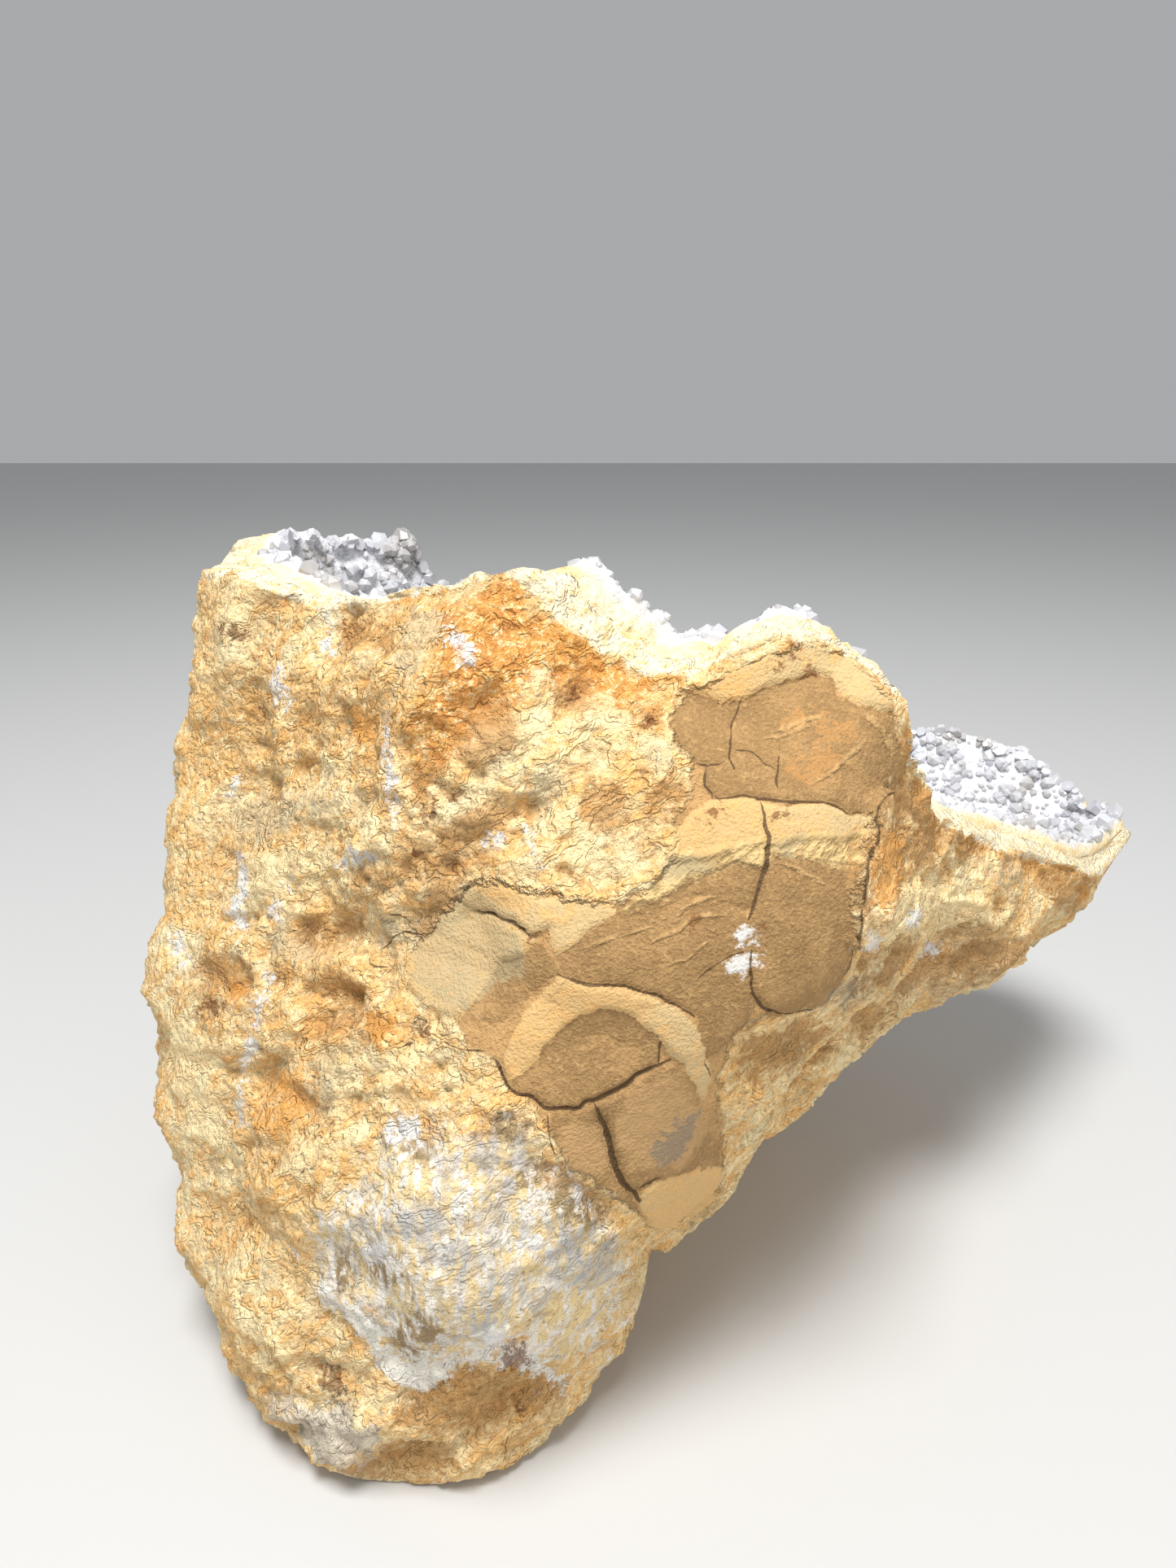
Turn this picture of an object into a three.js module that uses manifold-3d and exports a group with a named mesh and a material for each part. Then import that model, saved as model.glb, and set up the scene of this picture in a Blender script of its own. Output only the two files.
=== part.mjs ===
// Geode: a broken piece of ochre, clayey rock that stands on a small flat foot. Its broken top opens
// into a hollow like a tilted bowl, and a crust of small pale crystals lines that hollow.
// Millimetres, +Z up. The origin is under the middle of the stone, on the plane it stands on.
// The cracked clay skin faces -Y, the long wing of the stone points to +X.

import * as THREE from 'three';
import Module from 'manifold-3d';

const wasm = await Module();
wasm.setup();

const vec = ([x, y, z]) => new THREE.Vector3(x, y, z);
const DEGREE = Math.PI / 180;

// ---------------------------------------------------------------- driving dimensions

// Every direction is measured from CENTRE. The bowl opens along AXIS: up, tilted back and to the right.
const CENTRE = vec([-1, -3, 60]);
const AXIS_AZIMUTH = 46 * DEGREE;
const AXIS_ELEVATION = 66 * DEGREE;

const CRUST_THICKNESS = 5;
const CRUST_GAP = 0.7; // clear space between the rock and the crust
const CRUST_EDGE_GAP = 1.5; // the same, measured across the broken edge
const RIND_SHARE = 0.5; // part of the broken edge that is rock; the rest is crust
const HOLLOW_FLOOR = 8; // depth of the crust's lowest point under CENTRE, along AXIS
const VOID_HEIGHT = 90; // how far above CENTRE the crystals have room to stand
const HOLLOW_FULLNESS = 0.9; // under 1 makes the hollow fuller than an ellipse
const RIM_ECHO = 6; // the higher, the sooner the rim's unevenness dies away down the hollow
const CALMING_ROUNDS = 6; // how often a ring is averaged over its neighbours where it has died away
const MODEL_SHIFT = vec([0.4, -0.1, 0]); // brings the middle of the finished stone over the origin

// The rim of the rock skin, walked once round the mouth of the hollow, from the left end along the
// near side to the wing's tip and back along the far side. Each row: x, y, z of the rim, then how far
// the broken edge runs inward and how far it climbs along AXIS before the hollow starts.
const RIM = [
  [-72, 5, 107, 9, 5], [-65, -4, 109, 9, 4], [-58, -11, 108, 10, 3], [-50, -17, 108, 10, 3],
  [-44, -22, 109, 9, 3], [-40, -26, 112, 9, 2], [-33, -30, 115, 10, 1], [-28, -32, 116, 10, 1.5],
  [-24, -33, 115, 9, 5], [-21, -35, 111, 9, 7], [-15, -36, 108, 10, 7], [-10, -37, 106, 10, 6.5],
  [-4, -37, 105, 10, 6], [2, -35, 108, 9, 4.5], [9, -33, 108, 8, 2.5], [15, -32, 105, 8, 2],
  [19, -32, 99, 8, 1.5], [22, -31, 92, 8, 2], [27, -23, 84, 10, 3], [39, -12, 75, 12, 4],
  [53, 1, 65, 12, 4.5], [67, 13, 57, 10, 5], [78, 22, 54, 8, 5], [85, 30, 57, 5, 4],
  [87, 39, 56, 6, 3], [81, 47, 57, 7, 3], [72, 53, 60, 8, 4], [61, 57, 63, 9, 4],
  [55, 59, 62, 9, 4], [31, 58, 70, 9, 4], [6, 59, 76, 10, 3], [-19, 57, 84, 10, 4],
  [-37, 52, 92, 9, 4], [-53, 47, 97, 8, 4], [-57, 43, 105, 7, 4], [-60, 39, 106, 7, 4],
  [-65, 35, 105, 8, 4], [-69, 30, 107, 8, 4], [-71, 26, 110, 8, 4], [-73, 20, 110, 8, 4],
  [-74, 13, 108, 8, 5],
];

// Landmarks of the rock skin. The smooth skin passes through them; the relief comes on top.
const LEFT_FLANK = [
  [-76, 6, 97], [-78, 4, 88], [-81, 0, 76], [-83, -4, 59], [-84, -7, 46], [-82, -14, 34],
  [-80, -20, 29], [-74, -31, 21], [-68, -40, 14], [-61, -47, 9], [-57, -51, 3],
];
const LOBE_EDGE = [
  [-51, -54, 3], [-46, -56, 5], [-40, -55, 5], [-33, -54, 5], [-28, -53, 6], [-19, -48, 9],
  [-14, -45, 11], [-12, -43, 16],
];
const UNDERSIDE_EDGE = [
  [-10, -45, 27], [-9, -47, 34], [-4, -45, 34], [2, -39, 35], [7, -34, 38], [15, -26, 40],
  [23, -19, 42], [32, -12, 43], [45, -4, 45], [59, 5, 47], [68, 12, 50],
];
const FRONT_SKIN = [
  [-28, -39, 103], [-17, -45, 94], [-40, -33, 101], [-37, -41, 89], [-56, -26, 83], [-67, -7, 93],
  [-63, -26, 66], [-43, -46, 66], [-28, -52, 70], [-15, -54, 71], [-5, -52, 65], [-5, -49, 47],
  [-6, -44, 95], [8, -40, 99], [3, -49, 78], [12, -47, 79], [13, -42, 90], [-62, -38, 43],
  [-49, -50, 40], [-28, -57, 52], [-28, -59, 37], [-44, -57, 22], [-19, -55, 33], [-33, -57, 17],
];
const WING_FACE = [
  [18, -36, 82], [23, -30, 67], [36, -17, 71], [40, -12, 60], [56, 1, 59], [17, -29, 53],
];
const BACK_SKIN = [
  [-79, 19, 62], [-69, 29, 34], [-65, 37, 85], [-47, 49, 62], [-11, 57, 50], [23, 55, 48],
  [47, 53, 50], [69, 47, 54], [-49, 37, 16], [-13, 43, 18], [17, 35, 22], [45, 27, 38],
  [63, 31, 46], [25, 9, 32], [7, -5, 24],
];
const FOOT = [
  [-49, -45, -3], [-33, -47, -3], [-17, -33, -3], [-13, -19, -2], [-6, -3, -1], [3, 11, -1],
  [7, 23, 1], [-13, 29, -1], [-39, 21, -1], [-55, -3, -2], [-59, -27, -2], [-29, -11, -5],
];

// Two broken faces meet in the notch above the lobe: outward normal, distance from the frame's origin.
const WING_UNDERSIDE = { normal: vec([0.583, -0.575, -0.574]).normalize(), distance: 2.2 };
const LOBE_SIDE = { normal: vec([0.949, -0.248, -0.194]).normalize(), distance: -3.9 };
const NOTCH_ROUNDING = 3;

// Relief of the whole skin: folded waves from RELIEF_LONGEST down to RELIEF_SHORTEST across.
const RELIEF_WAVES = 9;
const RELIEF_LONGEST = 44;
const RELIEF_SHORTEST = 15;
const RELIEF_HEIGHT = 2.3;

// The dried clay is smoother than the rest: round these places the relief fades to CLAY_RELIEF.
const CLAY = [
  { middle: vec([5, -47, 80]), radius: 34 }, { middle: vec([-8, -50, 48]), radius: 30 },
];
const CLAY_RELIEF = 0.2;

// Grid of the skin: columns round AXIS, crowded at the front, and rows from the foot to the rim.
const COLUMNS = 48;
const SKIN_ROWS = 20;
const HOLLOW_ROWS = 6;
const FRONT_AZIMUTH = -112 * DEGREE;
const FRONT_CROWDING = 0.34;

// Marks on the front are laid out on a flat sheet that leans back in front of the stone: x to the
// right, y up the sheet. Straight lines from LAYOUT_EYE through the sheet carry them onto the skin.
const LAYOUT_EYE = vec([-17, -155, 134.4]);
const LAYOUT_LEAN = 20 * DEGREE;
const LAYOUT_DISTANCE = 133.7;
const CARRY_STEP = 0.5;

// Dried clay has cracked into plates and layers. Each stands up from the skin by its height, and
// PLATE_INSET on every side leaves the open cracks between neighbours.
const PLATE_INSET = 0.3;
const PLATE_ROOT = 2.5; // how far a plate reaches into the rock under it
const PLATE_HEADROOM = 6; // how far the prism that cuts a plate starts in front of the skin
const PLATES = {
  ochre_cap: { height: 1.6, outline: [
    [37, 9], [36.5, 11.5], [32, 16], [28.5, 17], [25, 17], [15, 12.5], [12, 12.5], [11.5, 11],
    [19, 10], [22.5, 12.5], [29, 13.5], [31, 11],
  ] },
  clay_upper_left: { height: 0.6, outline: [
    [15.5, 2], [11.5, 3.5], [10, 8.5], [11.5, 10.5], [18.5, 9.5], [17, 3],
  ] },
  clay_upper_right: { height: 0.9, outline: [
    [38, 2], [33.5, -3.5], [28, -2], [18.5, -2], [14.5, 0], [14.5, 1.5], [17.5, 2.5], [19, 10],
    [27.5, 13], [30.5, 10], [37, 7.5],
  ] },
  ledge_band: { height: 1.1, outline: [
    [10.5, -8.5], [11, -6], [15.5, -2], [28, -2.5], [33.5, -4], [33.5, -6], [12, -9.5],
  ] },
  scarp_terrace: { height: 0.5, outline: [
    [21.5, -8], [20, -15], [12, -13.5], [4, -15.5], [13.5, -9.5],
  ] },
  clay_right: { height: 0.8, outline: [
    [22.5, -8], [32.5, -11], [31, -19], [32, -20.5], [31.5, -22.5], [29, -26.5], [25.5, -28],
    [22, -27], [20.5, -23.5], [20, -17],
  ] },
  clay_left: { height: 0.3, outline: [
    [-2.5, -21], [2, -17.5], [12, -14.5], [18, -15.5], [19.5, -18], [20.5, -27.5], [15, -33],
    [12.5, -27.5], [9, -25.5], [-2.5, -22.5],
  ] },
  crescent: { height: 0.9, outline: [
    [14, -39], [12, -34], [5.5, -28], [1, -27], [-3, -29], [-9.5, -36], [-9.5, -31.5], [-6, -26],
    [-3, -23.5], [7, -26], [13, -29.5], [15, -36],
  ] },
  clay_plate_top: { height: 0.4, outline: [
    [-9, -36], [-1, -28], [1, -27.5], [5, -28.5], [9, -33], [-1.5, -39], [-5.5, -39], [-8.5, -37.5],
  ] },
  clay_plate_right: { height: 0.6, outline: [
    [16, -46.5], [6, -49.5], [4.5, -48.5], [1, -39], [10.5, -34.5], [13, -37],
  ] },
  clay_plate_low: { height: 0.3, outline: [
    [6, -52], [-3.5, -46], [-4, -40.5], [0.5, -40], [3, -47.5],
  ] },
  lip: { height: 0.4, outline: [
    [16, -47], [16.5, -50.5], [13.5, -54], [10, -55], [8, -54], [7, -49.5],
  ] },
  pale_low: { height: 1.0, outline: [
    [-11, -22], [-16, -28], [-20, -26.5], [-22.5, -23.5], [-22, -20.5], [-20.5, -19],
  ] },
  pale_middle: { height: 1.2, outline: [
    [-6.5, -19.5], [-11, -22], [-18, -18], [-15, -14.5],
  ] },
  pale_upper: { height: 1.4, outline: [
    [-15, -14], [-12, -12], [-8, -13], [-4.5, -15], [-4.5, -17], [-6, -18.5],
  ] },
  clay_bridge: { height: 0.3, outline: [
    [-4.5, -20.5], [-4, -22.5], [-8, -26.5], [-10.5, -28.5], [-13.5, -28.5], [-14, -27],
    [-11, -22.5], [-6, -20],
  ] },
  grey_block: { height: 0.9, outline: [
    [3.5, -15.5], [-2, -20], [-4, -19.5], [-4, -14.5], [-2, -13.5],
  ] },
  wing_terrace: { height: 0.9, outline: [
    [50.5, -17], [42.5, -17], [35, -19], [34, -16.5], [35.5, -13.5], [39, -13], [47, -14],
    [49.5, -15],
  ] },
};

// Pits on the front: place on the sheet, radius, how far the ball's middle stands above the skin.
const PITS = [
  { at: [-45, -24], radius: 7, stand: 4.4 }, { at: [-32, -27], radius: 8, stand: 5.4 },
  { at: [-35, -19], radius: 5, stand: 3.4 }, { at: [-22, 4], radius: 6, stand: 4.6 },
  { at: [-17, -11], radius: 5, stand: 3.6 }, { at: [-30, -76], radius: 6, stand: 4.4 },
];
const PIT_ROUGHNESS = 0.16;

// Crystals: six-sided points, grown together on the crust.
const CRYSTALS = 84;
const CRYSTAL_RADIUS = [3.2, 5.8];
const CRYSTAL_LENGTH = [2.6, 6.2]; // what stands clear of the crust
const CRYSTAL_ROOT = 1.2;
const CRYSTAL_LEAN = 0.32;

// ---------------------------------------------------------------- directions and the smooth skin

const AXIS = vec([
  Math.cos(AXIS_ELEVATION) * Math.cos(AXIS_AZIMUTH),
  Math.cos(AXIS_ELEVATION) * Math.sin(AXIS_AZIMUTH),
  Math.sin(AXIS_ELEVATION),
]);
const RIGHT = vec([0, 1, 0]).cross(AXIS).normalize();
const BACK = AXIS.clone().cross(RIGHT);

const outwardAt = (azimuth) =>
  RIGHT.clone().multiplyScalar(Math.cos(azimuth)).addScaledVector(BACK, Math.sin(azimuth));

// Unit vector at an azimuth round AXIS and a polar angle counted from the foot end of AXIS.
const direction = (azimuth, polar) =>
  AXIS.clone().multiplyScalar(-Math.cos(polar)).addScaledVector(outwardAt(azimuth), Math.sin(polar));

function polarOf(point) {
  const d = point.clone().sub(CENTRE).normalize();
  return { azimuth: Math.atan2(d.dot(BACK), d.dot(RIGHT)), polar: Math.acos(-d.dot(AXIS)) };
}

// Gaussian elimination with row exchange, for the weights of the skin's spline.
function solve(matrix, right) {
  const size = right.length;
  const a = matrix.map((row, i) => [...row, right[i]]);
  for (let column = 0; column < size; column++) {
    let best = column;
    for (let row = column + 1; row < size; row++) {
      if (Math.abs(a[row][column]) > Math.abs(a[best][column])) best = row;
    }
    [a[column], a[best]] = [a[best], a[column]];
    for (let row = column + 1; row < size; row++) {
      const factor = a[row][column] / a[column][column];
      for (let k = column; k <= size; k++) a[row][k] -= factor * a[column][k];
    }
  }
  const result = new Array(size).fill(0);
  for (let row = size - 1; row >= 0; row--) {
    let sum = a[row][size];
    for (let k = row + 1; k < size; k++) sum -= a[row][k] * result[k];
    result[row] = sum / a[row][row];
  }
  return result;
}

// The logarithm of the radius is a thin plate over all directions: each landmark adds a weight times
// the cubed distance to its direction, and a linear part is added to the sum.
function makeSmoothRadius(landmarks, slack) {
  const offsets = landmarks.map((p) => p.clone().sub(CENTRE));
  const units = offsets.map((p) => p.clone().normalize());
  const count = units.length;
  const kernel = (a, b) => a.distanceTo(b) ** 3;
  const matrix = [];
  for (let i = 0; i < count; i++) {
    const row = units.map((other) => kernel(units[i], other));
    row[i] += slack;
    matrix.push([...row, 1, ...units[i].toArray()]);
  }
  for (let k = 0; k < 4; k++) {
    const row = units.map((u) => (k === 0 ? 1 : u.getComponent(k - 1)));
    matrix.push([...row, 0, 0, 0, 0]);
  }
  const logs = offsets.map((p) => Math.log(p.length()));
  const weights = solve(matrix, [...logs, 0, 0, 0, 0]);
  const tilt = vec(weights.slice(count + 1));
  return (d) => {
    let sum = weights[count] + tilt.dot(d);
    for (let i = 0; i < count; i++) sum += weights[i] * kernel(d, units[i]);
    return Math.exp(sum);
  };
}

const rimPoints = RIM.map((row) => vec(row));
const skinPoints = [LEFT_FLANK, LOBE_EDGE, UNDERSIDE_EDGE, FRONT_SKIN, WING_FACE, BACK_SKIN, FOOT]
  .flat().map(vec);
const smoothRadius = makeSmoothRadius([...rimPoints, ...skinPoints], 0.004);

// Distance from CENTRE to a plane along d, or FAR_AWAY where the plane is behind.
const FAR_AWAY = 1e4;
function reachToPlane(d, { normal, distance }) {
  const cosine = normal.dot(d);
  return cosine > 1e-3 ? (distance - normal.dot(CENTRE)) / cosine : FAR_AWAY;
}

function smoothMin(a, b, rounding) {
  const h = THREE.MathUtils.clamp(0.5 + (0.5 * (b - a)) / rounding, 0, 1);
  return b + (a - b) * h - rounding * h * (1 - h);
}

// Folded waves: |sin| leaves creases, as broken rock has. Directions are spread over a half sphere.
function relief(point) {
  let height = 0;
  for (let i = 0; i < RELIEF_WAVES; i++) {
    const share = i / (RELIEF_WAVES - 1);
    const length = RELIEF_LONGEST * (RELIEF_SHORTEST / RELIEF_LONGEST) ** share;
    const turn = i * 2.4;
    const rise = 1 - (2 * i + 1) / RELIEF_WAVES;
    const flat = Math.sqrt(1 - rise * rise);
    const along = point.x * flat * Math.cos(turn) + point.y * flat * Math.sin(turn) + point.z * rise;
    height += (Math.abs(Math.sin((Math.PI * along) / length + turn)) - 0.64) * (1 - 0.6 * share);
  }
  let share = 1;
  for (const { middle, radius } of CLAY) {
    share = Math.min(share, THREE.MathUtils.smoothstep(point.distanceTo(middle), radius * 0.5, radius));
  }
  return height * (CLAY_RELIEF + (1 - CLAY_RELIEF) * share);
}

const GROUND = { normal: vec([0, 0, -1]), distance: 0 };

function skinRadius(d) {
  const notch = Math.max(reachToPlane(d, WING_UNDERSIDE), reachToPlane(d, LOBE_SIDE));
  const bare = smoothMin(smoothRadius(d), notch, NOTCH_ROUNDING);
  const rough = bare + RELIEF_HEIGHT * relief(CENTRE.clone().addScaledVector(d, bare));
  return Math.min(rough, reachToPlane(d, GROUND));
}

const skinPoint = (d, raise = 0) => CENTRE.clone().addScaledVector(d, skinRadius(d) + raise);

// ---------------------------------------------------------------- rim, broken edge and hollow

const rimTable = RIM.map((row) => ({ ...polarOf(vec(row)), inward: row[3], climb: row[4] }))
  .sort((a, b) => a.azimuth - b.azimuth);

// Straight interpolation round the rim, closed at the ends.
function rimAt(azimuth) {
  const full = 2 * Math.PI;
  const first = rimTable[0].azimuth;
  const a = first + ((((azimuth - first) % full) + full) % full);
  let i = rimTable.findIndex((row) => row.azimuth > a);
  if (i < 0) i = rimTable.length;
  const low = rimTable[i - 1];
  const high = rimTable[i % rimTable.length];
  const span = (((high.azimuth - low.azimuth) % full) + full) % full;
  const share = (a - low.azimuth) / span;
  const mix = (key) => low[key] + (high[key] - low[key]) * share;
  return { polar: mix('polar'), inward: mix('inward'), climb: mix('climb') };
}

const azimuths = Array.from({ length: COLUMNS }, (_, i) => {
  const even = (2 * Math.PI * i) / COLUMNS;
  return even - FRONT_CROWDING * 2 * Math.sin(even - FRONT_AZIMUTH) * 0.5;
});

const rimRing = azimuths.map((azimuth) => skinPoint(direction(azimuth, rimAt(azimuth).polar)));
const lipRing = azimuths.map((azimuth, i) => {
  const { inward, climb } = rimAt(azimuth);
  return rimRing[i].clone().addScaledVector(outwardAt(azimuth), -inward).addScaledVector(AXIS, climb);
});

// The ring at a share of the way across the broken edge, from the rim at 0 to the hollow's lip at 1.
const edgeRing = (share) => rimRing.map((p, i) => p.clone().lerp(lipRing[i], share));

// Average of a ring of numbers over its neighbours, repeated.
function calm(values, rounds) {
  let now = values;
  for (let k = 0; k < rounds; k++) {
    now = now.map((v, i) => {
      const before = now[(i + now.length - 1) % now.length];
      return 0.25 * before + 0.5 * v + 0.25 * now[(i + 1) % now.length];
    });
  }
  return now;
}

// A hollow below a ring: quarter superellipses from the ring to one lowest point on the axis.
function hollow(ring, floor) {
  const bottom = CENTRE.clone().addScaledVector(AXIS, -floor);
  const rise = ring.map((p) => p.clone().sub(bottom).dot(AXIS));
  const flat = ring.map((p, i) => p.clone().sub(bottom).addScaledVector(AXIS, -rise[i]));
  const calmRise = calm(rise, CALMING_ROUNDS);
  const calmFlat = ['x', 'y', 'z'].map((key) => calm(flat.map((p) => p[key]), CALMING_ROUNDS));
  return {
    bottom,
    // angle: 90 degrees at the ring, 0 at the bottom
    point(i, angle) {
      const keep = Math.sin(angle) ** RIM_ECHO;
      const out = vec(calmFlat.map((values) => values[i])).lerp(flat[i], keep);
      const up = calmRise[i] + (rise[i] - calmRise[i]) * keep;
      return bottom.clone()
        .addScaledVector(out, Math.sin(angle) ** HOLLOW_FULLNESS)
        .addScaledVector(AXIS, up * (1 - Math.cos(angle)));
    },
  };
}

// ---------------------------------------------------------------- solids

// A closed solid from rings of points between two end points.
function solidFromRings(start, rings, end) {
  const count = rings[0].length;
  const points = [start, ...rings.flat(), end];
  const last = points.length - 1;
  const index = (ring, i) => 1 + ring * count + (i % count);
  const triangles = [];
  for (let i = 0; i < count; i++) {
    triangles.push(0, index(0, i + 1), index(0, i));
    for (let ring = 0; ring + 1 < rings.length; ring++) {
      const [a, b] = [index(ring, i), index(ring, i + 1)];
      const [c, d] = [index(ring + 1, i), index(ring + 1, i + 1)];
      triangles.push(a, b, d, a, d, c);
    }
    triangles.push(last, index(rings.length - 1, i), index(rings.length - 1, i + 1));
  }
  return toManifold(points, triangles);
}

function toManifold(points, triangles) {
  let volume = 0;
  for (let k = 0; k < triangles.length; k += 3) {
    const [a, b, c] = [0, 1, 2].map((j) => points[triangles[k + j]]);
    volume += a.dot(b.clone().cross(c));
  }
  if (volume < 0) triangles.reverse();
  const mesh = new wasm.Mesh({
    numProp: 3,
    vertProperties: Float32Array.from(points.flatMap((p) => p.toArray())),
    triVerts: Uint32Array.from(triangles),
  });
  return new wasm.Manifold(mesh);
}

const quarter = Math.PI / 2;
const stepsDown = (rows, from = quarter) => Array.from({ length: rows }, (_, k) => from * (1 - k / rows));

// ---------------------------------------------------------------- clay plates

const SHEET_AHEAD = vec([0, Math.cos(LAYOUT_LEAN), -Math.sin(LAYOUT_LEAN)]);
const SHEET_UP = vec([0, Math.sin(LAYOUT_LEAN), Math.cos(LAYOUT_LEAN)]);

// A line through the sheet, and how far along it the skin lies. A line that just misses the stone
// is taken where it passes nearest.
function carry([x, y]) {
  const line = SHEET_AHEAD.clone().multiplyScalar(LAYOUT_DISTANCE).addScaledVector(SHEET_UP, y);
  line.x += x;
  line.normalize();
  const at = (reach) => LAYOUT_EYE.clone().addScaledVector(line, reach);
  let nearest = { reach: 0, clear: Infinity };
  for (let reach = LAYOUT_DISTANCE * 0.5; reach < LAYOUT_DISTANCE * 2; reach += CARRY_STEP) {
    const offset = at(reach).sub(CENTRE);
    const clear = offset.length() - skinRadius(offset.clone().normalize());
    if (clear <= 0) return { at, reach: reach - CARRY_STEP / 2 };
    if (clear < nearest.clear) nearest = { reach, clear };
  }
  return { at, reach: nearest.reach };
}

// The outline moved inward by an amount, each corner square to the line between its neighbours.
function inset(outline, amount) {
  const turn = Math.sign(THREE.ShapeUtils.area(outline.map((p) => new THREE.Vector2(...p))));
  return outline.map(([x, y], i) => {
    const [x0, y0] = outline[(i + outline.length - 1) % outline.length];
    const [x1, y1] = outline[(i + 1) % outline.length];
    const along = new THREE.Vector2(x1 - x0, y1 - y0).normalize();
    return [x - turn * along.y * amount, y + turn * along.x * amount];
  });
}

// Rings of the skin from the foot to the rim, raised by an amount.
const skinRings = (raise) => Array.from({ length: SKIN_ROWS }, (_, row) =>
  azimuths.map((azimuth) => {
    const polar = (rimAt(azimuth).polar * (row + 1)) / SKIN_ROWS;
    return skinPoint(direction(azimuth, polar), raise);
  }));
const footPoint = skinPoint(direction(0, 0));

// A plate is what a prism, drawn by its outline, cuts out of a raised copy of the skin. So its top
// keeps the facets of the rock under it, and its sides are clean steps.
function makePlate({ height, outline }) {
  const corners = inset(outline, PLATE_INSET);
  const lines = corners.map(carry);
  const caps = THREE.ShapeUtils.triangulateShape(corners.map((p) => new THREE.Vector2(...p)), []);
  const front = lines.map(({ at, reach }) => at(reach - PLATE_HEADROOM));
  const under = lines.map(({ at, reach }) => at(reach + PLATE_ROOT));
  const count = corners.length;
  const triangles = caps.flatMap(([a, b, c]) => [a, b, c, count + a, count + c, count + b]);
  const anticlockwise = THREE.ShapeUtils.area(corners.map((p) => new THREE.Vector2(...p))) > 0;
  for (let i = 0; i < count; i++) {
    const j = (i + 1) % count;
    const side = [i, count + i, count + j, i, count + j, j];
    triangles.push(...(anticlockwise ? side : side.reverse()));
  }
  const prism = toManifold([...front, ...under], triangles);
  return prism.intersect(solidFromRings(footPoint, skinRings(height), CENTRE.clone()));
}

// ---------------------------------------------------------------- pits and crystals

// A small repeatable source of numbers between 0 and 1.
function makeRandom(seed) {
  let state = seed;
  return () => {
    state = (state * 1664525 + 1013904223) % 4294967296;
    return state / 4294967296;
  };
}
const random = makeRandom(7);
const between = ([low, high]) => low + (high - low) * random();

// A pit is what a rough ball takes away: an icosahedron with its corners pushed in and out. The same
// corner comes up in several faces, so the push depends only on where the corner is.
function makePit({ at, radius, stand }) {
  const { at: point, reach } = carry(at);
  const middle = skinPoint(point(reach).sub(CENTRE).normalize(), stand);
  const ball = new THREE.IcosahedronGeometry(1, 1).getAttribute('position');
  const points = [];
  const triangles = [];
  const seen = new Map();
  for (let i = 0; i < ball.count; i++) {
    const corner = new THREE.Vector3().fromBufferAttribute(ball, i);
    const key = corner.toArray().map((v) => v.toFixed(4)).join();
    if (!seen.has(key)) {
      seen.set(key, points.length);
      const push = 1 + PIT_ROUGHNESS * Math.sin(9 * corner.x + 7 * corner.y + 5 * corner.z + radius);
      points.push(corner.multiplyScalar(radius * push).add(middle));
    }
    triangles.push(seen.get(key));
  }
  return toManifold(points, triangles);
}

function makeRind() {
  const inner = edgeRing(RIND_SHARE);
  const wall = hollow(inner, HOLLOW_FLOOR + CRUST_THICKNESS + CRUST_GAP);
  const walls = stepsDown(HOLLOW_ROWS).map((angle) => inner.map((_, i) => wall.point(i, angle)));
  let rind = solidFromRings(footPoint, [...skinRings(0), ...walls], wall.bottom);
  for (const plate of Object.values(PLATES)) rind = rind.add(makePlate(plate));
  for (const pit of PITS) rind = rind.subtract(makePit(pit));
  return rind.decompose().sort((a, b) => b.volume() - a.volume())[0];
}

// One crystal: only its point stands clear of its neighbours, so it is a six-sided pyramid.
function makeCrystal(root, up, radius, length) {
  const turn = new THREE.Quaternion().setFromUnitVectors(vec([0, 0, 1]), up);
  const spin = random() * Math.PI;
  const at = (x, y, z) => vec([x, y, z]).applyQuaternion(turn).add(root);
  const base = Array.from({ length: 6 }, (_, k) => {
    const a = spin + (k * Math.PI) / 3;
    return at(radius * Math.cos(a), radius * Math.sin(a), -CRYSTAL_ROOT);
  });
  return solidFromRings(at(0, 0, -CRYSTAL_ROOT), [base], at(0, 0, length));
}

const crustFloor = hollow(lipRing, HOLLOW_FLOOR);

// A place on the crust and the way out of it: column counted in columns, angle from 90 degrees at
// the lip to 0 at the lowest point.
function crustPlace(column, angle) {
  const i = Math.floor(column);
  const at = (k, a) => crustFloor.point(k % COLUMNS, a);
  const point = at(i, angle).lerp(at(i + 1, angle), column - i);
  const across = at(i + 1, angle).sub(at(i, angle));
  const down = at(i, Math.max(angle - 0.1, 0.02)).sub(at(i, angle));
  const out = across.cross(down).normalize();
  if (out.dot(AXIS.clone().multiplyScalar(30).add(CENTRE).sub(point)) < 0) out.negate();
  return { point, out };
}

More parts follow.
